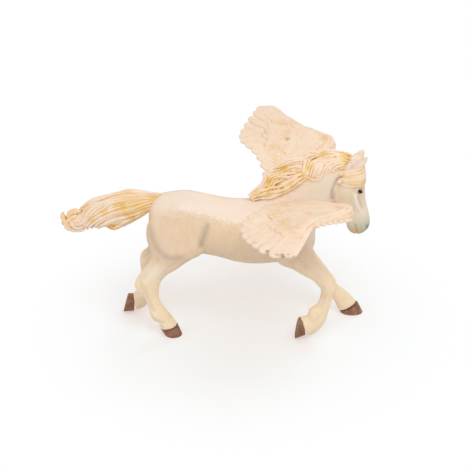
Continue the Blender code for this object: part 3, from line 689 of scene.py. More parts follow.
def srgb(red, green, blue):
    """A colour as a paint chart gives it, from 0 to 255, as the shader takes it."""
    parts = []
    for part in (red, green, blue):
        part /= 255
        parts.append(part / 12.92 if part <= 0.04045 else ((part + 0.055) / 1.055) ** 2.4)
    return tuple(parts)


PEEL_SIZE = 2400.0
PEEL_DEPTH = 0.0002
GLOSS_CHANGE = 0.28


def make_wash_and_shade():
    """Colour that gathers in hollows, unevenly: thin paint as it is brushed on and wiped off, and painted
    shade in the skin's hollows.
    """
    group, start, end = new_group(
        "hollow_wash_and_shade",
        (
            ("Colour", "NodeSocketColor", (1, 1, 1, 1)),
            ("Wash", "NodeSocketColor", (0.5, 0.3, 0.1, 1)),
            ("Hollow", "NodeSocketFloat", 0.0),
            ("Low", "NodeSocketFloat", 0.1),
            ("High", "NodeSocketFloat", 0.6),
            ("Strength", "NodeSocketFloat", 1.0),
            ("Patches", "NodeSocketFloat", 0.5),
            ("Patch size", "NodeSocketFloat", 220.0),
        ),
        (("Colour", "NodeSocketColor"), ("Mask", "NodeSocketFloat")),
    )
    reach = node(group, "ShaderNodeMapRange", interpolation_type="SMOOTHSTEP")
    for label, socket in (("Hollow", "Value"), ("Low", "From Min"), ("High", "From Max")):
        group.links.new(start.outputs[label], reach.inputs[socket])
    spots = node(group, "ShaderNodeTexNoise")
    spots.inputs["Detail"].default_value = 3.0
    group.links.new(node(group, "ShaderNodeTexCoord").outputs["Object"], spots.inputs["Vector"])
    group.links.new(start.outputs["Patch size"], spots.inputs["Scale"])
    patch = ramp(group, spots.outputs["Fac"], 0.35, 0.62)
    wiped_and_highlit = times(group, sums(group, "SUBTRACT", 1.0, patch), start.outputs["Patches"])
    mask = times(group, reach.outputs["Result"], sums(group, "SUBTRACT", 1.0, wiped_and_highlit))
    mask = sums(group, "MULTIPLY", mask, start.outputs["Strength"], clamp=True)
    group.links.new(mask, end.inputs["Mask"])
    group.links.new(blend(group, mask, start.outputs["Colour"], start.outputs["Wash"]), end.inputs["Colour"])
    return group


def make_vinyl():
    """The surface of moulded vinyl: a faint orange peel, and gloss that varies with handling."""
    group, start, end = new_group(
        "vinyl_surface",
        (
            ("Gloss", "NodeSocketFloat", 0.5),
            ("Peel size", "NodeSocketFloat", PEEL_SIZE),
        ),
        (("Roughness", "NodeSocketFloat"), ("Height", "NodeSocketFloat")),
    )
    place = node(group, "ShaderNodeTexCoord").outputs["Object"]
    handled = noise(group, 60.0, 3.0, place=place)
    change = times(group, sums(group, "SUBTRACT", handled, 0.5), GLOSS_CHANGE)
    group.links.new(sums(group, "ADD", start.outputs["Gloss"], change), end.inputs["Roughness"])
    peel = node(group, "ShaderNodeTexNoise")
    peel.inputs["Detail"].default_value = 2.0
    group.links.new(place, peel.inputs["Vector"])
    group.links.new(start.outputs["Peel size"], peel.inputs["Scale"])
    group.links.new(peel.outputs["Fac"], end.inputs["Height"])
    return group


hollow_wash_and_shade = make_wash_and_shade()
vinyl_surface = make_vinyl()


def washed_and_shaded(tree, colour, wash, hollow, low, high, strength, patches):
    """The colour under a wash, of thin paint in the hair and wings and of painted shade in the skin, that
    starts at one depth of the hollows and is full at another.
    """
    made = place_group(
        tree, hollow_wash_and_shade, colour=colour, wash=wash, hollow=hollow, low=low, high=high,
        strength=strength, patches=patches,
    )
    return made.outputs["Colour"]


def finish_surface(tree, shader, gloss, bump, peel_size=PEEL_SIZE, extra_height=None):
    """Gives the shader the vinyl's roughness, and its bump with any other relief added."""
    surface = place_group(tree, vinyl_surface, gloss=gloss, peel_size=peel_size)
    tree.links.new(surface.outputs["Roughness"], shader.inputs["Roughness"])
    height = surface.outputs["Height"]
    if extra_height is not None:
        height = sums(tree, "ADD", height, extra_height)
    relief = node(tree, "ShaderNodeBump")
    relief.inputs["Strength"].default_value = bump
    relief.inputs["Distance"].default_value = PEEL_DEPTH
    tree.links.new(height, relief.inputs["Height"])
    tree.links.new(relief.outputs["Normal"], shader.inputs["Normal"])


def near_spot(tree, spot, inner, outer):
    """1 within the inner distance of a spot on the table, in millimetres, and 0 beyond the outer."""
    apart = node(tree, "ShaderNodeVectorMath", operation="DISTANCE")
    tree.links.new(node(tree, "ShaderNodeTexCoord").outputs["Object"], apart.inputs[0])
    apart.inputs[1].default_value = TABLE_TO_FRAME @ Vector(spot)
    return ramp(tree, apart.outputs["Value"], outer * MM, inner * MM)


def dab(tree, colour, spots):
    """The colour under soft round spots, each a place, two distances, a strength and a paint."""
    for place, inner, outer, strength, paint in spots:
        colour = layer(tree, colour, near_spot(tree, place, inner, outer), strength, paint)
    return colour


TOP_CREAM = srgb(241, 221, 204)
CREAM = srgb(240, 219, 195)
SPRAY_TAN = srgb(230, 199, 161)
LEG_CREAM = srgb(250, 226, 190)
CREASE_LILAC = srgb(186, 164, 152)
FLANK_GREY = srgb(164, 152, 128)
PALE_SCUFF_AND_HIGHLIGHT = srgb(255, 246, 232)
HEAD_TAN = srgb(226, 205, 168)
NECK_CREAM = srgb(238, 224, 200)
MUZZLE_GREY = srgb(171, 178, 149)
NOSTRIL_TEAL = srgb(146, 164, 154)
NOSTRIL_DARK = srgb(66, 72, 74)
LIP_ORANGE = srgb(220, 168, 108)
LIP_BROWN = srgb(120, 78, 52)
LID_BROWN = srgb(150, 96, 70)
EAR_PINK = srgb(246, 222, 206)

SPRAY_ABOVE = (0.026, 0.043)
SPRAY_STREAKS = 0.24
SPRAY_FLAT = 0.60
LEGS_BELOW = (0.048, 0.027)
PATCHES_BELOW = (0.05, 0.03)
FLANK_SPOT = ((-14.5, 0.0, 57.0), 13.0, 17.5)

# Spots of paint: the middle on the table, where the spot is full and where it ends, and its strength
UNDER_SPOTS = (
    ((38.0, -6.0, 82.0), 5.0, 13.0, 0.42, NECK_CREAM),
    ((38.0, 6.0, 82.0), 5.0, 13.0, 0.42, NECK_CREAM),
    ((54.0, -7.0, 75.5), 4.0, 11.0, 0.62, HEAD_TAN),
    ((54.0, 3.0, 75.5), 4.0, 11.0, 0.62, HEAD_TAN),
)
PAINT_SPOTS = (
    ((61.0, -5.8, 57.0), 3.0, 13.0, 0.95, MUZZLE_GREY),
    ((59.5, -8.2, 79.3), 0.9, 1.7, 0.45, LID_BROWN),
    ((59.5, 2.9, 79.3), 0.9, 1.7, 0.45, LID_BROWN),
    # A painted highlight on the right gaskin.
    ((-39.8, -13.4, 37.5), 1.5, 8.0, 0.32, PALE_SCUFF_AND_HIGHLIGHT),
    ((64.6, -8.0, 60.8), 1.0, 3.2, 0.60, NOSTRIL_TEAL),
    ((64.6, -8.2, 60.6), 0.3, 1.4, 0.85, NOSTRIL_DARK),
    ((64.6, -3.2, 60.6), 0.3, 1.4, 0.85, NOSTRIL_DARK),
    ((57.5, -9.6, 60.0), 0.3, 1.9, 0.80, LIP_ORANGE),
    ((59.7, -9.9, 59.9), 0.3, 1.9, 0.80, LIP_ORANGE),
    ((58.6, -10.0, 59.4), 0.2, 1.0, 0.50, LIP_BROWN),
    ((58.6, -2.0, 58.4), 0.6, 1.9, 0.75, LIP_ORANGE),
    ((57.6, -5.6, 93.6), 2.5, 5.5, 0.50, EAR_PINK),
    ((57.6, 5.6, 93.6), 2.5, 5.5, 0.50, EAR_PINK),
)

neck_shape = profile(NECK, 6)
head_shape = profile(HEAD, 5)
shapes = [trunk(), neck_shape.copy(), head_shape.copy(), ear(*RIGHT_EAR), ear(*LEFT_EAR)]
shapes += [profile(leg, 5) for leg in (RIGHT_HIND, LEFT_HIND, RIGHT_FORE, LEFT_FORE)]
horse_skin = add_piece("horse_skin", shapes)
fuse(horse_skin, SKIN_GRAIN, SKIN_ROUNDS)
work_over(horse_skin, STROKES)
press(horse_skin, "SMOOTH", factor=0.5, iterations=1)

skin_points, skin_normals = points_of(horse_skin.data), normals_of(horse_skin.data)
edge_height = np.interp(skin_points[:, 0], *zip(*SPRAY_EDGE))
edge_fade = np.interp(skin_points[:, 0], *zip(*SPRAY_FADE))
note(horse_skin.data, "spray", np.clip((edge_height - skin_points[:, 2]) / edge_fade + 0.5, 0, 1))
scuff = stroke_weight(skin_points, skin_normals, BOTH, WHOLE, SCUFF_REACH, SCUFF_PATH)
note(horse_skin.data, "scuff", scuff)
note_hollows(horse_skin, *SKIN_HOLLOWS)
thin_out(horse_skin, SKIN_TRIANGLES)
to_frame(horse_skin)

material, nodes, links, shader = shader_nodes("cream_vinyl_sprayed_highlit_and_shaded")
tree = material.node_tree
place = node(tree, "ShaderNodeSeparateXYZ")
links.new(node(tree, "ShaderNodeTexCoord").outputs["Object"], place.inputs[0])
height = place.outputs["Z"]
mottle = noise(tree, 120.0, 4.0)
brushing = noise(tree, 520.0, 3.0, stretch=(1.0, 1.0, 0.22))
colour = blend(tree, ramp(tree, mottle, 0.38, 0.66), TOP_CREAM, CREAM)
spray = times(tree, reading(tree, "spray"), ramp(tree, height, *SPRAY_ABOVE))
streaks = times(tree, ramp(tree, brushing, 0.34, 0.66), SPRAY_STREAKS)
spray = times(tree, spray, sums(tree, "ADD", streaks, SPRAY_FLAT))
colour = blend(tree, spray, colour, SPRAY_TAN)
colour = layer(tree, colour, ramp(tree, height, *LEGS_BELOW), 0.9, LEG_CREAM)
leg_patch = times(tree, ramp(tree, noise(tree, 190.0, 3.0), 0.5, 0.68), ramp(tree, height, *PATCHES_BELOW))
colour = layer(tree, colour, leg_patch, 0.35, SPRAY_TAN)
colour = layer(tree, colour, ramp(tree, noise(tree, 900.0, 2.0), 0.55, 0.72), 0.14, SPRAY_TAN)
flecks = noise(tree, 1100.0, 3.0, stretch=(0.6, 1.0, 1.0))
scuffed = times(tree, ramp(tree, flecks, 0.50, 0.66), reading(tree, "scuff"))
colour = layer(tree, colour, scuffed, 0.5, PALE_SCUFF_AND_HIGHLIGHT)
colour = dab(tree, colour, UNDER_SPOTS)
shade = reading(tree, "shade")
# Painted lilac shade in the creases that the strokes carved.
colour = layer(tree, colour, ramp(tree, shade, 0.0, 1.0, smooth=False), 0.85, CREASE_LILAC)
# Painted highlight, in the pale of the scuffs, on the places that the strokes raised.
wiped_and_highlit = ramp(tree, times(tree, shade, -1.0), 0.0, 0.6, smooth=False)
colour = layer(tree, colour, wiped_and_highlit, 0.6, PALE_SCUFF_AND_HIGHLIGHT)
# Painted grey shade in the fold of the flank.
flank = times(tree, near_spot(tree, *FLANK_SPOT), ramp(tree, shade, 0.0, 0.6, smooth=False))
colour = layer(tree, colour, flank, 0.5, FLANK_GREY)
# Painted lilac shade in the skin's hollows.
colour = washed_and_shaded(tree, colour, CREASE_LILAC, reading(tree, "hollow"), 0.15, 1.0, 0.35, 0.3)
colour = dab(tree, colour, PAINT_SPOTS)
links.new(colour, shader.inputs["Base Color"])
chipped = times(tree, flecks, reading(tree, "scuff"))
finish_surface(tree, shader, 0.50, 0.4, extra_height=chipped)
horse_skin.data.materials.append(material)
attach(horse_skin, "root")
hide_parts("horse")


# The hooves: four solid horn shapes at the ends of the legs, moulded with the body and painted a
# satin reddish brown up to the coronet. The wall has growth rings, and the sole is cupped round
# its frog.
HOOF_SIDES = 48
WALL_RINGS = 12
WALL_TAPER = 0.55
GROWTH_RINGS = 5
GROWTH_DEPTH = 0.05
SOLE_RIM = 0.16
SOLE_DEPTH = 0.08
SOLE_CUPS = (0.35, 0.30)
# For each hoof the middle of its sole, the fold about it, half its length, half its width, the
# height and setback of its toe, the height of its heel, and how far the heel runs forward
HOOVES = (
    ((-32.2, -9.0, 0.0), 0.0, 5.4, 4.2, 5.6, 2.1, 3.5, 2.0),
    ((60.9, 12.4, 0.0), 0.0, 6.0, 4.2, 5.7, 2.8, 0.9, 0.4),
    ((31.2, -12.0, 5.9), 100.0, 6.3, 4.2, 4.9, 3.0, 1.8, 0.8),
    ((-57.0, 13.4, 5.4), 106.0, 5.6, 4.2, 5.2, 1.8, 2.8, 0.8),
)
HOOF_BROWN = srgb(128, 87, 61)
HOOF_RUST = srgb(162, 117, 88)
HOOF_UMBER = srgb(84, 58, 42)


def hoof_blank():
    """A drum with a cupped sole, of radius 1 and height 1, on the origin."""
    bpy.ops.object.select_all(action="DESELECT")
    bpy.ops.mesh.primitive_cylinder_add(vertices=HOOF_SIDES, radius=1, depth=1, location=(0, 0, 0.5))
    drum = bpy.context.object
    bpy.ops.object.transform_apply(location=True)
    bpy.ops.object.mode_set(mode="EDIT")
    form = bmesh.from_edit_mesh(drum.data)
    for face in form.faces:
        face.select_set(face.normal.z < -0.5)
    bmesh.update_edit_mesh(drum.data)
    bpy.ops.mesh.inset(thickness=SOLE_RIM)
    bpy.ops.transform.translate(value=(0, 0, SOLE_DEPTH))
    for thickness in SOLE_CUPS:
        bpy.ops.mesh.inset(thickness=thickness)
    bpy.ops.mesh.poke()
    for level in range(1, WALL_RINGS):
        bpy.ops.mesh.select_all(action="SELECT")
        bpy.ops.mesh.bisect(plane_co=(0, 0, level / WALL_RINGS), plane_no=(0, 0, 1))
    bpy.ops.object.mode_set(mode="OBJECT")
    return drum


def shape_hoof(drum, sole, fold, half_length, half_width, toe_height, setback, heel_height, heel_run):
    """Leans the drum's wall back to the coronet, and stands it where the leg ends."""
    mesh = drum.data.copy()
    turn = Matrix.Rotation(math.radians(fold), 3, "Y")
    for vertex in mesh.vertices:
        across, share = (vertex.co.x + 1) / 2, vertex.co.z
        heel = Vector((-half_length + heel_run * (1 - share), 0, heel_height * share))
        toe = Vector((half_length - setback * share, 0, toe_height * share))
        swell = 1 + GROWTH_DEPTH / half_width * math.sin(share * GROWTH_RINGS * math.tau)
        spot = heel.lerp(toe, across)
        centre = (heel + toe) / 2
        spot = centre + (spot - centre) * swell
        spot.y = vertex.co.y * (half_width - WALL_TAPER * share) * swell
        vertex.co = Vector(sole) + turn @ spot
    return mesh


drum = hoof_blank()
hooves = add_piece("hooves", [shape_hoof(drum, *row) for row in HOOVES])
bpy.data.objects.remove(drum)
press(hooves, "BEVEL", width=0.55, segments=4, limit_method="ANGLE", angle_limit=math.radians(40))
press(hooves, "SUBSURF", levels=1, render_levels=1)
to_frame(hooves)

material, nodes, links, shader = shader_nodes("hoof_brown_paint")
tree = material.node_tree
streaks = noise(tree, 420.0, 4.0)
colour = blend(tree, ramp(tree, streaks, 0.35, 0.68), HOOF_BROWN, HOOF_RUST)
colour = layer(tree, colour, ramp(tree, noise(tree, 1300.0, 3.0), 0.55, 0.75), 0.5, HOOF_UMBER)
links.new(colour, shader.inputs["Base Color"])
finish_surface(tree, shader, 0.42, 0.5, 1500.0)
hooves.data.materials.append(material)
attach(hooves, "root")
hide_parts("horse")


# The eyes: two domes between the lids, painted nearly black and varnished, with a brown iris that
# shows only in strong light.
EYE_RADIUS = 1.12
EYE_SHAPE = (1.0, 1.0, 0.62)
EYE_TILT = math.radians(-14)
EYES = ((59.5, -7.9, 79.5), (59.5, 2.7, 79.5))
EYE_DARK = srgb(24, 12, 7)
EYE_BROWN = srgb(64, 32, 18)



def pressed_ball(ball, squash, place, tilt=None):
    """The mesh of a new ball that is squashed, tilted and moved to its place. The ball goes."""
    bpy.ops.object.mode_set(mode="EDIT")
    bpy.ops.mesh.select_all(action="SELECT")
    bpy.ops.transform.resize(value=squash)
    if tilt is not None:
        bpy.ops.transform.rotate(value=tilt, orient_axis="Y", center_override=(0, 0, 0))
    bpy.ops.transform.translate(value=place)
    bpy.ops.object.mode_set(mode="OBJECT")
    mesh = ball.data.copy()
    bpy.data.objects.remove(ball)
    return mesh


shapes = []
for centre in EYES:
    bpy.ops.object.select_all(action="DESELECT")
    bpy.ops.mesh.primitive_uv_sphere_add(segments=40, ring_count=24, radius=EYE_RADIUS)
    shapes.append(pressed_ball(bpy.context.object, EYE_SHAPE, centre, EYE_TILT))
eyes = add_piece("eyes", shapes)
to_frame(eyes)

material, nodes, links, shader = shader_nodes("eye_varnish")
tree = material.node_tree
iris = ramp(tree, noise(tree, 1500.0, 2.0), 0.5, 0.8)
links.new(blend(tree, iris, EYE_DARK, EYE_BROWN), shader.inputs["Base Color"])
surface = place_group(tree, vinyl_surface, gloss=0.3, peel_size=900.0)
links.new(surface.outputs["Roughness"], shader.inputs["Roughness"])
shader.inputs["Specular IOR Level"].default_value = 0.3
eyes.data.materials.append(material)
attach(eyes, "root")
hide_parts("horse")


# The mane: a thick body of hair along the crest, and locks as thick as string that sweep back
# from the ears, loop once behind the cheek and run down to the withers. Pale pinkish cream on the
# ridges, with gold and brown washes left in the grooves.
HAIR_GRAIN = 0.2
HAIR_HOLLOWS = (16, 0.26)
HAIR_TRIANGLES = 180000
MANE_LEAN = -0.6
MANE_CORE = (
    (13.0, 73.6, 5.0, 3.4),
    (20.0, 80.4, 6.6, 5.6),
    (27.0, 86.8, 7.6, 6.0),
    (34.0, 91.6, 8.4, 5.8),
    (42.0, 94.4, 8.0, 5.4),
    (49.0, 95.0, 6.0, 4.6),
    (55.0, 94.6, 3.0, 3.0),
)
NEAR_LOCKS = (
    (0.85, (55, 94.4), (51, 95.6), (47, 96.4), (43, 96.8), (40, 95.4), (37.5, 95.6), (35.2, 94.6),
     (34.2, 92), (33.2, 89.6), (32.2, 87.4)),
    (0.8, (55.6, 94.2), (50.3, 95), (46, 95.2), (42, 94.4), (38.5, 93.4), (36.4, 92.4), (35.3, 90.6),
     (34.4, 88.4), (33.8, 87)),
    (0.75, (52.2, 94.2), (48.5, 94.6), (44.5, 94), (41, 93.2), (38.4, 92), (36.6, 90.2), (35.6, 88),
     (35.2, 86.8)),
    (0.9, (51.8, 93.4), (48.7, 93.8), (45.4, 93.2), (43.2, 91.6), (42, 89.4), (41, 87), (39.4, 85.4),
     (37, 84.9), (34.6, 85.8), (32.4, 86.6)),
    (0.8, (51.8, 92.6), (49.2, 93), (46.8, 92.2), (45, 90.4), (43.8, 88.4)),
    (0.85, (52.0, 91.8), (50.8, 92), (49.2, 91.9), (47.4, 91.2), (45.4, 89.2)),
    (0.75, (51.6, 90.8), (50, 90.9), (48.2, 90.4), (46.2, 89.2), (44.6, 87.4)),
    (0.7, (41.6, 92.4), (39.4, 91.2), (38, 89.4), (37, 87.4), (36.6, 86)),
    (0.7, (41.4, 91), (40, 89), (39, 87.2), (38, 85.8)),
    (0.7, (42.4, 90.2), (41, 88.4), (40, 86.6)),
    (1.1, (36.6, 95.8), (34.6, 95.2), (33.6, 93), (33, 90.6), (32.4, 88.6), (31.6, 87)),
    (0.75, (35, 93), (30, 92.6), (26, 92), (23.4, 91), (21.6, 89.8), (19, 88.4)),
    (0.8, (33, 91.6), (29, 91.4), (25.8, 90.6), (23.2, 89.4), (21, 88), (17.6, 87), (14.6, 86.2)),
    (0.75, (32.8, 90), (29, 90), (26, 88.9), (23.4, 87.6), (20.6, 86.6), (17, 85.6)),
    (0.7, (31.8, 89), (28.4, 87.8), (26.2, 86.6), (23.6, 86.2)),
    (1.1, (29, 87.4), (25, 86.3), (21.6, 85.6), (18.6, 84.6), (16.6, 83), (15.8, 80.6), (15.3, 78.4),
     (15, 76.6)),
    (0.7, (26.4, 85.4), (22.8, 84.8), (19.8, 84), (17.9, 82.6), (17, 80.8), (16.4, 79)),
    (1.15, (32, 86.4), (30, 85.2), (27.6, 83.2), (24.8, 81), (21.6, 79.2), (18.6, 77.8), (15.4, 76.2),
     (12, 74.8), (8, 73)),
    (0.9, (33.4, 85.4), (30.4, 83.6), (27.4, 81.4), (24.4, 79.4), (21, 77.6), (17.6, 76.2), (14, 74.9),
     (10, 73.6)),
    (0.95, (29, 85.4), (25.8, 84), (23, 82), (21, 80), (19.2, 78.4)),
    (0.85, (22.6, 82.6), (20, 81.4), (18.2, 79.8), (17, 78), (15.4, 76.4)),
    (1.0, (15.6, 83.6), (15, 81.2), (14, 79), (12.2, 77), (10, 75.2), (7.2, 73.2)),
    (0.85, (14.6, 85.6), (14.6, 83), (13.4, 80), (11.8, 77.8), (9.4, 75.6), (6.6, 73)),
    (0.8, (13.6, 78), (11.8, 76.2), (9.6, 74.4), (7.4, 72.6)),
    (0.8, (16.6, 77.8), (13.8, 76), (11.2, 74.2), (8.8, 72.6)),
)
FAR_LOCKS = (
    (0.9, (54, 94), (47, 95.2), (41, 92.6), (37, 87), (33.6, 82), (28, 79)),
    (0.9, (52, 93), (45.4, 92.6), (40, 88.6), (36.6, 83.6), (31, 80)),
    (0.9, (50, 94.6), (43, 94.4), (37.6, 90.4), (33.6, 85), (30, 80.6)),
    (0.9, (47, 95.4), (40, 94.4), (34.6, 90), (30, 84), (25, 79.6)),
    (0.9, (42, 95.4), (36, 93.6), (31, 89), (26.6, 83.4), (21, 79.4)),
    (0.9, (38, 94.4), (32, 91), (27.6, 86.4), (23.6, 82), (19, 78.6)),
    (0.9, (34, 92.4), (28.6, 88.6), (24.4, 84), (20, 79.8), (15, 76)),
    (0.9, (29, 89), (24.6, 85), (20.4, 80.8), (15.6, 77.4), (11, 74.4)),
    (0.9, (25, 86), (20.6, 82), (16.4, 78), (12, 75.2), (7.4, 72.6)),
    (0.9, (21, 82.6), (17, 79), (13.4, 76), (9, 73.4)),
    (1.0, (48, 92.4), (43.6, 88), (41, 84), (38, 81.4)),
    (1.0, (36, 88), (32, 83.4), (27, 80), (22.4, 77.6)),
)


def surface_finder(mesh):
    return BVHTree.FromPolygons(
        [vertex.co for vertex in mesh.vertices], [tuple(face.vertices) for face in mesh.polygons]
    )


def lay_lock(ground, side, lock, middle, lift):
    """A lock's side view laid on the ground under it, or on its middle plane where it stands free."""
    points, out = [], None
    for x, z in lock:
        hit = ground.ray_cast(Vector((x, side * 40, z)), Vector((0, -side, 0)))[0]
        reach = side * (hit.y - middle) if hit is not None else LOCK_STANDOFF
        out = reach if out is None else (out + 2 * reach) / 3
        points.append(Vector((x, middle + side * (max(out, LOCK_STANDOFF) + lift), z)))
    return points


def beside(lock, shift, wave, turn):
    """A side view path that runs beside another one, and wanders from it in slow waves."""
    path = []
    for k, (x, z) in enumerate(lock):
        before, after = lock[max(k - 1, 0)], lock[min(k + 1, len(lock) - 1)]
        along = Vector((after[0] - before[0], after[1] - before[1])).normalized()
        off = shift + wave * math.sin(turn + WAVE_STEP * k)
        path.append((x - along.y * off, z + along.x * off))
    return path


def comb(ground, side, table_of_locks, middle, parting, lift):
    """The strands of each lock, laid on the ground: each is shifted off it, thinned and lowered."""
    strands = []
    for k, (radius, *lock) in enumerate(table_of_locks):
        for number, (shift, size, drop) in enumerate(parting):
            path = beside(lock, shift * radius, STRAND_WAVE, k * LOCK_PHASE + number * STRAND_PHASE)
            height = lift + LOCK_STAGGER * (k % 3) - drop
            strands.append((radius * size, *STRAND_ENDS, lay_lock(ground, side, path, middle, height)))
    return strands


def string_locks(name, locks):
    """Locks as tubes: each a radius, how thin its ends are, and the points that it follows."""
    data = bpy.data.curves.new(name, "CURVE")
    data.dimensions = "3D"
    data.bevel_depth = 1.0
    data.bevel_resolution = 3
    data.use_fill_caps = True
    for radius, root, tip, points in locks:
        rows = smooth_rows(points, 6)
        spline = data.splines.new("POLY")
        spline.points.add(len(rows) - 1)
        for k, (point, row) in enumerate(zip(spline.points, rows)):
            share = k / (len(rows) - 1)
            point.co = (*row, 1)
            point.radius = radius * min(1.0, root + 3.0 * share, tip + 2.2 * (1 - share))
    holder = bpy.data.objects.new(name, data)
    scene.collection.objects.link(holder)
    choose(holder)
    bpy.ops.object.convert(target="MESH")
    mesh = bpy.context.object.data.copy()
    bpy.data.objects.remove(bpy.context.object)
    closed = bmesh.new()
    closed.from_mesh(mesh)
    bmesh.ops.remove_doubles(closed, verts=closed.verts, dist=1e-4)
    closed.to_mesh(mesh)
    closed.free()
    return mesh


def gild(thing, spots):
    """Notes where the gold paint is laid on thickly: round spots, each x, z and how far it reaches."""
    places = points_of(thing.data)[:, (0, 2)]
    gilt = np.zeros(len(places))
    for x, z, reach in spots:
        gilt = np.maximum(gilt, np.exp(-((np.linalg.norm(places - (x, z), axis=1) / reach) ** 2)))
    note(thing.data, "gilt", gilt)


def make_hair(name, shapes, gilt_spots):
    """A piece of hair, fused from its shapes, with its grooves and its gilded spots noted."""
    hair = add_piece(name, shapes)
    fuse(hair, HAIR_GRAIN, 1)
    note_hollows(hair, *HAIR_HOLLOWS)
    gild(hair, gilt_spots)
    thin_out(hair, HAIR_TRIANGLES)
    to_frame(hair)
    return hair


def ridge_core():
    """The body of hair along the crest, that the locks are laid on."""
    rings = []
    for x, crest, depth, half_width in smooth_rows(MANE_CORE, 5):
        fall = Vector((depth / 4, 0, -depth / 2))
        centre = Vector((x, MANE_LEAN, crest)) + fall
        rings.append(oval(centre, Vector((0, half_width, 0)), -fall, -fall))
    return loft(rings)


def hair_paint(name, pale, peach, gold, brown):
    """Brushed paint on hair: worn pale ridges, gold in the grooves, and brown in the deepest ones."""
    material, nodes, links, shader = shader_nodes(name)
    tree = material.node_tree
    colour = blend(tree, ramp(tree, noise(tree, 85.0, 3.0), 0.40, 0.64), pale, peach)
    gilt = reading(tree, "gilt")
    patch = times(tree, sums(tree, "SUBTRACT", noise(tree, 150.0, 3.0), 0.5), 1.2)
    hollow = sums(tree, "ADD", reading(tree, "hollow"), patch)
    deep_gold = sums(tree, "ADD", hollow, times(tree, gilt, 0.5))
    colour = washed_and_shaded(tree, colour, gold, deep_gold, -0.05, 0.50, 0.95, 0.2)
    deep_brown = sums(tree, "ADD", hollow, times(tree, gilt, 0.1))
    colour = washed_and_shaded(tree, colour, brown, deep_brown, 0.34, 0.85, 0.9, 0.35)
    links.new(colour, shader.inputs["Base Color"])
    finish_surface(tree, shader, 0.48, 0.3)
    return material


STRAND_WAVE = 0.16
STRAND_ENDS = (0.5, 0.4)
WAVE_STEP = 1.3
LOCK_PHASE = 2.1
STRAND_PHASE = 1.9
LOCK_LIFT = 0.15
MANE_PARTING = ((0.0, 0.74, 0.0), (1.3, 0.59, 0.3), (-1.3, 0.63, 0.2))
LOCK_STAGGER = 0.3
LOCK_STANDOFF = 0.25
HAIR_PALE = srgb(248, 227, 208)
HAIR_PEACH = srgb(246, 220, 190)
HAIR_GOLD = srgb(234, 190, 92)
HAIR_BROWN = srgb(144, 94, 42)
MANE_GILT = (
    (53, 94, 4.0), (48, 92.5, 2.5), (42, 96.5, 2.5), (32, 86.4, 1.8), (27, 82.6, 2.2), (22, 79.2, 2.2),
    (16.5, 76.6, 2.4), (11, 74.6, 2.6), (14, 86, 1.6), (16, 82, 2.0), (23, 88.6, 2.0), (36, 91, 2.0),
)

core = ridge_core()
neck_ground = add_piece("neck_ground", [neck_shape.copy(), head_shape.copy(), core.copy()])
ground = surface_finder(neck_ground.data)
bpy.data.objects.remove(neck_ground)
locks = []
for side, table_of_locks in ((-1, NEAR_LOCKS), (1, FAR_LOCKS)):
    locks += comb(ground, side, table_of_locks, MANE_LEAN, MANE_PARTING, LOCK_LIFT)
mane = make_hair("mane", [core, string_locks("mane_locks", locks)], MANE_GILT)
mane.data.materials.append(hair_paint("mane_paint", HAIR_PALE, HAIR_PEACH, HAIR_GOLD, HAIR_BROWN))
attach(mane, "root")
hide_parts("horse")


# The forelock: two bunches that fall from between the ears, lie across the brow on each side and
# end in small knots above the cheek. The same hair and the same paint as the mane.
FORELOCK_LOCKS = (
    (0.8, (57.2, -0.2, 93.4), (59.8, -2.6, 91.8), (59.2, -6.2, 90.0), (56.0, -7.6, 89.6),
     (52.6, -7.8, 89.0), (49.8, -7.8, 88.6)),
    (0.75, (58.0, -0.4, 93.2), (60.6, -2.6, 90.6), (59.6, -6.8, 88.9), (56.0, -8.2, 88.6),
     (52.6, -8.4, 88.2), (50.0, -8.0, 88.2)),
    (0.8, (58.5, -0.4, 93.0), (61.0, -2.6, 89.6), (59.8, -7.3, 87.3), (56.2, -8.4, 86.9),
     (52.6, -8.4, 86.2), (49.4, -8.0, 85.6)),
    (0.75, (58.8, 0.0, 92.6), (61.3, -2.4, 88.8), (60.2, -7.6, 86.0), (56.6, -8.8, 85.6),
     (52.8, -8.8, 85.4), (49.0, -8.0, 84.9)),
    (0.75, (59.0, 0.0, 92.4), (61.4, -2.0, 88.2), (60.8, -7.4, 84.6), (57.0, -8.9, 84.2),
     (53.2, -8.8, 84.4), (49.6, -8.2, 84.4)),
    (0.8, (59.0, 0.0, 92.4), (61.4, -1.6, 88.0), (61.2, -6.8, 83.6), (56.8, -8.8, 82.9),
     (53.0, -8.8, 83.0), (50.2, -8.4, 83.8)),
    (0.8, (58.2, 0.2, 93.0), (60.6, 1.6, 90.2), (60.0, 4.4, 86.8), (57.6, 5.4, 85.2), (55.0, 5.9, 84.2)),
    (0.8, (58.8, 0.2, 92.8), (61.2, 0.8, 89.4), (60.4, 3.8, 85.6), (58.4, 5.2, 83.8)),
    (0.8, (57.4, 0.4, 93.8), (60.2, 2.2, 92.4), (57.6, 4.8, 89.4), (53.6, 5.6, 87.6)),
    (0.8, (57.8, 0.4, 93.6), (61.0, 2.0, 91.2), (58.8, 4.8, 88.2), (55.4, 5.8, 86.2)),
)
FORELOCK_START = 54.4
FORELOCK_SINK = 1.0
FORELOCK_PARTING = ((0.0, 0.0), (0.62, 0.12), (-0.62, 0.12))
FORELOCK_THINNING = 0.72
FORELOCK_ENDS = (0.6, 0.55)
KNOT_SHAPE = (1.15, 0.8, 0.95)
BROW_KNOTS = ((49.6, -7.9, 84.7, 1.25), (50.2, -7.7, 88.4, 1.15))
FORELOCK_GILT = ((60.5, 91, 3.0), (50, 88.4, 2.2), (49.6, 84.6, 1.9), (61, 84, 1.8))


def knot(x, y, z, radius):
    """A small round knot at the end of a bunch."""
    bpy.ops.object.select_all(action="DESELECT")
    bpy.ops.mesh.primitive_ico_sphere_add(subdivisions=3, radius=radius)
    return pressed_ball(bpy.context.object, KNOT_SHAPE, (x, y, z))


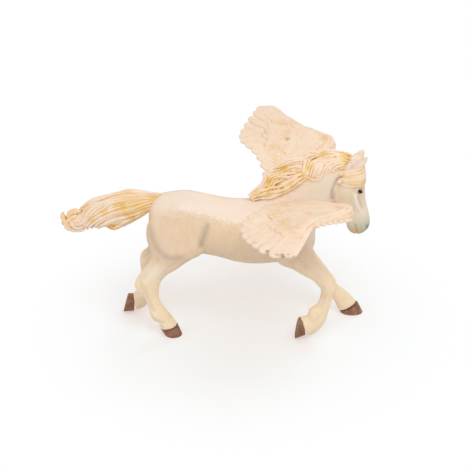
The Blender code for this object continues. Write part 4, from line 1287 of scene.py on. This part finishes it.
locks = []
for radius, *lock in FORELOCK_LOCKS:
    _, y, z = lock[0]
    lock = [(FORELOCK_START, 2 * y, z - FORELOCK_SINK), *lock]
    for rise, out in FORELOCK_PARTING:
        path = [Vector((x, y + (out if y < 0 else -out), z + rise)) for x, y, z in lock]
        locks.append((radius * FORELOCK_THINNING, *FORELOCK_ENDS, path))
knots = [knot(*row) for row in BROW_KNOTS]
forelock = make_hair("forelock", [string_locks("forelock_locks", locks), *knots], FORELOCK_GILT)
forelock.data.materials.append(hair_paint("forelock_paint", HAIR_PALE, HAIR_PEACH, HAIR_GOLD, HAIR_BROWN))
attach(forelock, "root")
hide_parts("horse")


# The tail: carried level behind the horse, a thick bundle of wavy locks that starts at the dock
# Pale cream and peach in patches, with gold in the grooves, laid on thickest near the body, and brown in the
# deepest grooves.
TAIL = (
    (-36.5, 74.0, 68.5, 2.2),
    (-42.0, 75.6, 65.6, 2.7),
    (-48.0, 76.2, 61.8, 3.2),
    (-56.0, 75.6, 57.2, 3.5),
    (-64.0, 73.2, 56.0, 3.4),
    (-71.0, 69.4, 55.4, 3.1),
    (-77.0, 65.4, 54.8, 2.6),
    (-82.0, 63.0, 55.4, 1.9),
    (-85.0, 61.4, 57.4, 1.0),
)
TAIL_LOCKS = (
    (1.0, (-36, 73.8), (-41, 74.7), (-47, 75), (-52, 74.9), (-58, 73.8), (-64, 71.9), (-69, 70.1),
     (-72.6, 68.2), (-75, 66.2)),
    (0.9, (-36.5, 73.2), (-43, 73.9), (-49.5, 73.8), (-55.7, 72.9), (-61, 71.4), (-66.2, 69.6),
     (-70.4, 67.6), (-73.4, 64.6), (-75.6, 61.8)),
    (0.9, (-37, 73.2), (-45, 73.6), (-51.5, 73.2), (-57, 72), (-62, 70.8), (-66.4, 68.6),
     (-70.4, 65.4), (-73, 62.2), (-75.2, 59.6), (-78, 58.6)),
    (1.0, (-37.6, 72.6), (-44.5, 72), (-50, 71.2), (-55, 70.8), (-60, 69.4), (-64.4, 66.8),
     (-68.6, 64), (-71.6, 61), (-73.4, 57.6), (-75.6, 55.6)),
    (0.85, (-38, 72), (-44.2, 70.8), (-50, 69.4), (-55.6, 68.4), (-60.6, 66.8), (-65, 64.6),
     (-69, 61.8), (-71.6, 58.4), (-73, 55.8)),
    (0.9, (-38.5, 71), (-44.2, 69.4), (-49, 67.8), (-54.4, 66.6), (-60, 64.8), (-64.4, 62.6),
     (-68.4, 59.6), (-70.8, 57)),
    (0.9, (-39, 70), (-44.7, 67.6), (-50, 65.8), (-55.4, 64.6), (-60.4, 63), (-64.6, 60.6), (-68, 57.4)),
    (0.95, (-39.6, 68.8), (-45.7, 65.4), (-50.4, 63.4), (-55.6, 62.2), (-60.4, 60.8), (-64.4, 58.6),
     (-67.4, 56.4)),
    (0.9, (-40.4, 67.6), (-45.8, 63.9), (-50, 61.7), (-54.2, 59.9), (-57.4, 57), (-60, 56.2),
     (-62.4, 57.4)),
    (0.8, (-42, 66.6), (-49, 63), (-53.4, 60.9), (-57, 59.4), (-61, 59), (-64, 57.6)),
    (0.95, (-41.6, 66.2), (-46.6, 62.8), (-51.6, 60), (-55.4, 58), (-58.4, 57.2)),
    (1.1, (-75, 65.4), (-78.4, 65), (-80.8, 63.6), (-81, 61.6), (-79.4, 60.4)),
    (1.0, (-81.6, 56.6), (-83, 58.8), (-83.8, 61), (-84.4, 62.6), (-83.6, 63.8)),
    (1.1, (-73.4, 56), (-77, 55.2), (-80.4, 55.8), (-82.4, 57.4), (-83, 59.8)),
    (1.0, (-74, 58), (-77, 57), (-79.4, 58.4), (-80.4, 60.6)),
    (1.0, (-77, 63.4), (-79, 62.2), (-81.4, 60.4), (-82.6, 58.2)),
)
TAIL_CURLS = 11
TAIL_PARTING = ((-0.6, 0.90, 0.0), (0.6, 0.80, 0.15))
CURL_PARTING = ((0.0, 1.05, 0.0),)
TAIL_LIFT = 0.05
FAR_WANDER = 0.5
FAR_WAVE = 0.35
TAIL_PALE = srgb(245, 221, 199)
TAIL_PEACH = srgb(242, 206, 158)
TAIL_GOLD = srgb(232, 186, 92)
TAIL_BROWN = srgb(156, 104, 58)
TAIL_GILT = (
    (-38, 72, 5.0), (-44, 68, 3.0), (-50, 63.5, 2.6), (-55, 70, 2.4), (-63, 66, 2.2), (-70, 62, 2.0),
    (-60, 58, 2.2),
)

bundle = profile([(x, high - 2.0, x, low + 0.6, 0.0, half - 0.4) for x, high, low, half in TAIL], 5)
ground = surface_finder(bundle)
far_locks = []
for k, (radius, *lock) in enumerate(TAIL_LOCKS):
    far_locks.append((radius, *[(x, z + FAR_WANDER * math.sin(x * FAR_WAVE + k)) for x, z in lock]))
locks = []
for side, table_of_locks in ((-1, TAIL_LOCKS), (1, far_locks)):
    locks += comb(ground, side, table_of_locks[:TAIL_CURLS], 0.0, TAIL_PARTING, TAIL_LIFT)
    locks += comb(ground, side, table_of_locks[TAIL_CURLS:], 0.0, CURL_PARTING, TAIL_LIFT)
tail = make_hair("tail", [bundle, string_locks("tail_locks", locks)], TAIL_GILT)
tail.data.materials.append(hair_paint("tail_paint", TAIL_PALE, TAIL_PEACH, TAIL_GOLD, TAIL_BROWN))
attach(tail, "root")
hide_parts("horse")


# The wings: two mouldings of wing vinyl, each glued into the horse's side by a peg. A thick arm
# with lengthwise cords carries a fan of flight feathers, and rows of short rounded coverts overlap
# on them like shingles. Each has its own arm and leading feathers. Both are made on the left side,
# and the right one is then mirrored.
WING_GRAIN = 0.26
WING_HOLLOWS = (16, 0.28)
WING_TRIANGLES = 170000
LEFT_ARM = (
    (17.0, 5.0, 68.2, 4.4, 3.4),
    (21.0, 8.6, 70.4, 4.9, 3.6),
    (27.0, 14.6, 73.8, 5.0, 3.6),
    (35.0, 23.4, 78.0, 4.7, 3.5),
    (43.0, 31.4, 81.2, 4.4, 3.3),
    (47.6, 36.8, 82.8, 4.2, 3.2),
    (47.4, 42.0, 83.8, 3.8, 2.8),
    (43.8, 47.6, 84.6, 3.0, 2.3),
    (38.6, 52.6, 85.6, 2.2, 1.8),
    (33.4, 56.6, 86.2, 1.4, 1.3),
)
RIGHT_ARM = (
    (17.0, 5.0, 67.6, 4.4, 3.2),
    (21.0, 8.6, 69.6, 4.9, 3.4),
    (27.0, 14.8, 73.0, 5.0, 3.4),
    (35.6, 23.4, 77.4, 4.7, 3.4),
    (43.8, 31.2, 80.9, 4.6, 3.3),
    (49.1, 36.1, 82.6, 4.7, 3.3),
    (49.3, 39.4, 83.2, 4.3, 2.8),
    (45.0, 43.8, 83.8, 3.2, 2.3),
    (39.6, 48.6, 84.8, 2.2, 1.8),
    (34.0, 54.6, 85.8, 1.4, 1.3),
)
ARM_SHRINK = 0.86
ARM_LIFT = 0.72
ARM_SPREAD = 0.78
CORD_ENDS = (0.35, 0.3)
CORD_STEPS = 8
# Cords of the arm: where across it, where each starts and ends along it, and its radius
ARM_CORDS = (
    (-0.78, 0.00, 0.50, 1.7),
    (-0.20, 0.04, 0.58, 1.8),
    (-0.55, 0.42, 0.78, 1.7),
    (0.15, 0.40, 0.90, 1.7),
    (0.58, 0.06, 0.48, 1.6),
    (0.68, 0.40, 0.96, 1.4),
)
FLIGHT_HALF_WIDTH = 3.7
LEFT_LEADING = (
    ((35.0, 53.6, 86.0), (21.2, 73.4, 86.5)),
    ((32.0, 54.0, 86.0), (17.6, 84.4, 86.6)),
    ((31.4, 51.0, 85.6), (13.4, 84.2, 86.4)),
)
RIGHT_LEADING = (
    ((32.0, 54.0, 86.0), (21.0, 84.4, 86.6)),
    ((31.4, 51.0, 85.6), (15.6, 84.6, 86.6)),
)
FLIGHT_FEATHERS = (
    ((30.8, 47.6, 85.0), (11.2, 79.4, 85.8)),
    ((30.2, 44.2, 84.4), (8.2, 73.0, 84.8)),
    ((29.6, 40.8, 83.6), (5.8, 67.0, 83.6)),
    ((29.2, 37.4, 82.8), (3.8, 60.8, 82.7)),
    ((28.8, 34.0, 81.8), (2.8, 54.6, 82.4)),
    ((28.4, 30.4, 80.8), (3.4, 48.8, 82.6)),
    ((27.8, 26.6, 79.6), (6.2, 43.0, 82.8)),
    ((27.0, 22.8, 78.2), (9.4, 38.0, 82.2)),
    ((26.0, 19.0, 76.8), (12.2, 32.2, 81.0)),
    ((24.8, 15.4, 75.4), (14.2, 26.4, 79.4)),
    ((23.4, 12.4, 74.2), (15.2, 20.4, 77.2)),
)
COVERTS = (
    ((33.0, 52.6, 85.9), (24.2, 68.0, 86.4)),
    ((36.6, 50.0, 85.6), (20.6, 65.6, 85.9)),
    ((41.4, 45.4, 84.8), (17.8, 61.4, 85.2)),
    ((43.6, 41.0, 84.0), (16.4, 57.2, 84.4)),
    ((43.0, 36.4, 83.2), (15.6, 52.4, 83.6)),
    ((41.2, 32.6, 82.2), (15.6, 47.4, 83.1)),
    ((38.2, 28.4, 80.9), (16.0, 42.6, 82.5)),
    ((35.0, 24.2, 79.4), (16.6, 37.6, 81.6)),
    ((31.6, 20.4, 77.9), (17.2, 32.4, 80.5)),
    ((28.4, 16.8, 76.3), (18.0, 27.2, 79.2)),
    ((26.0, 13.4, 75.0), (17.8, 21.8, 77.3)),
)
# Rows of coverts, from the flight feathers to the arm: where each row starts and ends along the
# first row's feathers, how many it has, their half width, and how far root and end are lifted
COVERT_ROWS = (
    (0.00, 1.00, 19, 2.4, 0.80, 0.70),
    (0.14, 0.74, 18, 2.3, 0.95, 1.05),
    (0.06, 0.54, 20, 2.1, 1.10, 1.25),
    (0.00, 0.36, 21, 2.0, 1.25, 1.40),
    (-0.06, 0.20, 22, 1.8, 1.25, 1.50),
)
COVERT_HALF_THICKNESS = 0.6
COVERT_WANDER = 0.035
COVERT_ROLL = 4.0
COVERT_SEED = 11
FRINGE_FEATHERS = 8
FRINGE_SIZE = (1.3, 0.7)
FEATHER_HALF_THICKNESS = 0.82
FEATHER_ROLL = 6.0
WING_RISE = Vector((0.0, -0.2, 1.0))
VANE_END = 0.88


def feather_outline(share):
    """The half width of a feather's vane at this share of its length, against its widest."""
    if share < VANE_END:
        return 0.72 + 0.28 * math.sin(share / VANE_END * math.pi / 2)
    return math.sqrt(max(0.004, 1 - ((share - VANE_END) / (1 - VANE_END)) ** 2.4))


def feather_blank(rows, columns, shaft_height, ridge_height):
    """A feather of length 1 and half width 1 along X: its vane, its shaft and two finer ridges."""
    bpy.ops.object.select_all(action="DESELECT")
    bpy.ops.mesh.primitive_grid_add(x_subdivisions=rows, y_subdivisions=columns, size=2)
    blank = bpy.context.object
    for vertex in blank.data.vertices:
        share, across = (vertex.co.x + 1) / 2, vertex.co.y
        share = 1 - (1 - share) ** 1.3
        crown = (1 - 0.25 * across * across) * (1 - 0.25 * share)
        shaft = shaft_height * math.exp(-((across / 0.11) ** 2)) * (1 - share * 0.6)
        ridge = ridge_height * math.exp(-(((abs(across) - 0.52) / 0.12) ** 2))
        vertex.co = (share, across * feather_outline(share), crown + shaft + ridge)
    bpy.ops.object.mode_set(mode="EDIT")
    bpy.ops.mesh.select_all(action="SELECT")
    bpy.ops.mesh.extrude_region_move()
    bpy.ops.transform.resize(value=(1, 1, -1), center_override=(0, 0, 0))
    bpy.ops.mesh.select_all(action="SELECT")
    bpy.ops.mesh.normals_make_consistent(inside=False)
    bpy.ops.object.mode_set(mode="OBJECT")
    return blank


def lay_feather(blank, root, tip, half_width, half_thickness, lifts=(0.0, 0.0), roll=FEATHER_ROLL):
    """A copy of the blank from root to tip, rolled over its neighbour and lifted off the wing."""
    root, tip = Vector(root), Vector(tip)
    along = tip - root
    across = along.cross(WING_RISE).normalized()
    across.rotate(Matrix.Rotation(math.radians(roll), 3, along))
    thick = across.cross(along).normalized()
    root, tip = root + thick * lifts[0], tip + thick * lifts[1]
    axes = Matrix((tip - root, across * half_width, thick * half_thickness)).transposed()
    mesh = blank.data.copy()
    mesh.transform(Matrix.Translation(root) @ axes.to_4x4())
    return mesh


def arm_shapes(arm):
    """The arm's core, and the cords of muscle that run along both its faces."""
    rings, frames = [], []
    rows = smooth_rows(arm, 5)
    for k, row in enumerate(rows):
        before, after = rows[max(k - 1, 0)], rows[min(k + 1, len(rows) - 1)]
        along = Vector((after - before)[:3]).normalized()
        up = (Vector((0, 0, 1)) - along * along.z).normalized()
        side = up.cross(along)
        high = up * row[4] * ARM_SHRINK
        rings.append(oval(Vector(row[:3]), side * row[3] * ARM_SHRINK, high, high))
        frames.append((Vector(row[:3]), side * row[3], up * row[4], row[3] / arm[0][3]))
    cords = []
    for shift, start, stop, radius in ARM_CORDS:
        for face in (1, -1):
            path = []
            for step in range(CORD_STEPS + 1):
                share = start + (stop - start) * step / CORD_STEPS
                centre, side, up, size = frames[round(share * (len(frames) - 1))]
                lean = shift * (1 - 0.25 * step / CORD_STEPS)
                rise = math.sqrt(1 - lean * lean)
                path.append(centre + side * lean * ARM_SPREAD + up * face * ARM_LIFT * rise)
            cords.append((radius * (0.45 + 0.55 * size), *CORD_ENDS, path))
    return [loft(rings), string_locks("arm_cords", cords)]


def row_points(rows, share):
    """The root and the tip of a feather that stands at this share of a row of feathers."""
    return between([root for root, _ in rows], share), between([tip for _, tip in rows], share)


def covert_shapes(arm):
    """Rows of small rounded feathers on both faces, each a little out of line."""
    wander = np.random.default_rng(COVERT_SEED)
    blank = feather_blank(12, 12, 0.35, 0.0)
    shapes = []
    for number, (start, stop, count, half_width, root_lift, end_lift) in enumerate(COVERT_ROWS):
        for k in range(count):
            share = min((k + 0.5 * (number % 2)) / (count - 1), 1.0)
            base, end = row_points(COVERTS, share)
            off = wander.uniform(-1, 1, 4)
            root = base.lerp(end, start + COVERT_WANDER * off[0])
            tip = base.lerp(end, stop + COVERT_WANDER * 1.6 * off[1])
            tip += (end - base).cross(WING_RISE).normalized() * 0.5 * off[2]
            size = half_width * (1 + 0.12 * off[3])
            for face in (1, -1):
                lifts = (face * root_lift, face * (end_lift + 0.12 * off[0]))
                shapes.append(lay_feather(blank, root, tip, size, COVERT_HALF_THICKNESS, lifts, COVERT_ROLL))
    for k in range(FRINGE_FEATHERS):
        row = between(arm, 0.60 + 0.38 * k / (FRINGE_FEATHERS - 1))
        out = Vector((0.30, 0.95, -0.10)).normalized()
        root = Vector(row[:3]) + out * row[3] * 0.2 + Vector((0.8, -0.6, -0.3))
        tip = root + out * (row[3] * 0.9 + 0.6) + Vector((-0.9, 0.2, 0.0))
        shapes.append(lay_feather(blank, root, tip, *FRINGE_SIZE))
    bpy.data.objects.remove(blank)
    return shapes


def wing_shapes(arm, leading):
    """All that a wing is fused from, on the left side."""
    blank = feather_blank(30, 26, 0.32, 0.14)
    shapes = arm_shapes(arm)
    for root, tip in leading + FLIGHT_FEATHERS:
        shapes.append(lay_feather(blank, root, tip, FLIGHT_HALF_WIDTH, FEATHER_HALF_THICKNESS))
    bpy.data.objects.remove(blank)
    return shapes + covert_shapes(arm)


def note_feathers(thing, leading):
    """Notes how far each point lies along its flight feather, and across it."""
    spots = points_of(thing.data)
    best = np.full(len(spots), np.inf)
    along_best, across_best = np.zeros(len(spots)), np.zeros(len(spots))
    for root, tip in leading + FLIGHT_FEATHERS:
        root, line = np.array(root), np.array(tip) - np.array(root)
        length = np.linalg.norm(line)
        share = (spots - root) @ line / length**2
        side = np.cross(line / length, (0, 0, 1))
        across = (spots - root - share[:, None] * line) @ (side / np.linalg.norm(side))
        closer = (np.abs(across) < best) & (share > 0)
        best[closer] = np.abs(across[closer])
        along_best[closer] = share[closer]
        across_best[closer] = across[closer] / FLIGHT_HALF_WIDTH
    note(thing.data, "along", along_best)
    note(thing.data, "across", across_best)


def make_wing(name, side, arm, leading):
    """One wing, fused and noted on the left side, and mirrored for the right."""
    wing = add_piece(name, wing_shapes(arm, leading))
    fuse(wing, WING_GRAIN, 1)
    note_hollows(wing, *WING_HOLLOWS)
    note_feathers(wing, leading)
    thin_out(wing, WING_TRIANGLES)
    if side < 0:
        wing.data.transform(Matrix.Scale(-1, 4, Vector((0, 1, 0))))
        wing.data.flip_normals()
    to_frame(wing)
    return wing


WING_CREAM = srgb(244, 221, 192)
WING_PINK = srgb(245, 213, 188)
WING_RIDGE_HIGHLIGHT = srgb(251, 233, 213)
WING_OCHRE = srgb(234, 194, 132)
WING_BROWN = srgb(140, 96, 52)
NOTCH_FADE = (-0.05, -0.06)
BARBS_ALONG = 9.0
BARB_HEIGHT = 0.35
WING_SPOTS = (
    # The first six: painted shade in the notches between the right wing's feather tips.
    ((21.8, -83.3, 86.5), 0.3, 1.6, 0.55, WING_BROWN),
    ((19.4, -83.5, 86.4), 0.3, 1.8, 0.80, WING_BROWN),
    ((17.2, -83.5, 86.3), 0.3, 1.8, 0.80, WING_BROWN),
    ((13.4, -79.0, 86.0), 0.3, 1.5, 0.80, WING_BROWN),
    ((10.6, -74.0, 85.2), 0.1, 1.2, 0.65, WING_BROWN),
    ((8.6, -69.6, 84.6), 0.2, 1.4, 0.80, WING_BROWN),
    ((27.0, 43.4, 84.8), 0.2, 2.2, 0.50, WING_BROWN),
    ((30.0, 57.9, 86.0), 1.0, 4.0, 0.60, WING_OCHRE),
    ((45.3, 41.2, 86.0), 1.0, 4.0, 0.60, WING_OCHRE),
    ((33.0, -42.2, 84.5), 0.8, 3.0, 0.60, WING_OCHRE),
)

material, nodes, links, shader = shader_nodes("wing_vinyl_brushed_highlit_and_shaded")
tree = material.node_tree
colour = blend(tree, ramp(tree, noise(tree, 240.0, 4.0), 0.40, 0.65), WING_CREAM, WING_PINK)
hollow = reading(tree, "hollow")
# Painted highlight on the raised ridges of the feathers.
colour = layer(tree, colour, ramp(tree, times(tree, hollow, -1.0), 0.15, 0.7), 0.55, WING_RIDGE_HIGHLIGHT)
patch = times(tree, sums(tree, "SUBTRACT", noise(tree, 170.0, 3.0), 0.5), 1.5)
along = reading(tree, "along")
coverts = times(tree, times(tree, ramp(tree, along, 0.75, 0.45), ramp(tree, along, 0.0, 0.2)), 0.5)
deep_ochre = sums(tree, "ADD", sums(tree, "ADD", hollow, patch), coverts)
colour = washed_and_shaded(tree, colour, WING_OCHRE, deep_ochre, 0.30, 0.95, 0.85, 0.3)
colour = washed_and_shaded(tree, colour, WING_BROWN, hollow, 0.55, 1.1, 0.6, 0.7)
across = sums(tree, "ABSOLUTE", reading(tree, "across"))
# Painted brown shade in the notches between the feather tips, on the right wing only.
notch = times(tree, ramp(tree, along, 0.92, 0.98), ramp(tree, across, 0.45, 0.8))
place = node(tree, "ShaderNodeSeparateXYZ")
links.new(node(tree, "ShaderNodeTexCoord").outputs["Object"], place.inputs[0])
notch = times(tree, notch, ramp(tree, place.outputs["Y"], *NOTCH_FADE))
colour = layer(tree, colour, notch, 0.5, WING_BROWN)
colour = dab(tree, colour, WING_SPOTS)
links.new(colour, shader.inputs["Base Color"])
barbs = node(tree, "ShaderNodeTexWave", wave_type="BANDS", bands_direction="X")
barbs.inputs["Scale"].default_value = 1.0
barbs.inputs["Distortion"].default_value = 0.4
slant = node(tree, "ShaderNodeCombineXYZ")
links.new(sums(tree, "ADD", times(tree, along, BARBS_ALONG), across), slant.inputs["X"])
links.new(slant.outputs[0], barbs.inputs["Vector"])
finish_surface(tree, shader, 0.48, 0.35, extra_height=times(tree, barbs.outputs["Fac"], BARB_HEIGHT))

for name, side, arm, leading, wing_node in (
    ("left_wing_feathers", 1, LEFT_ARM, LEFT_LEADING, "left_wing"),
    ("right_wing_feathers", -1, RIGHT_ARM, RIGHT_LEADING, "right_wing"),
):
    wing = make_wing(name, side, arm, leading)
    wing.data.materials.append(material)
    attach(wing, "root")
    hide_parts(wing_node)
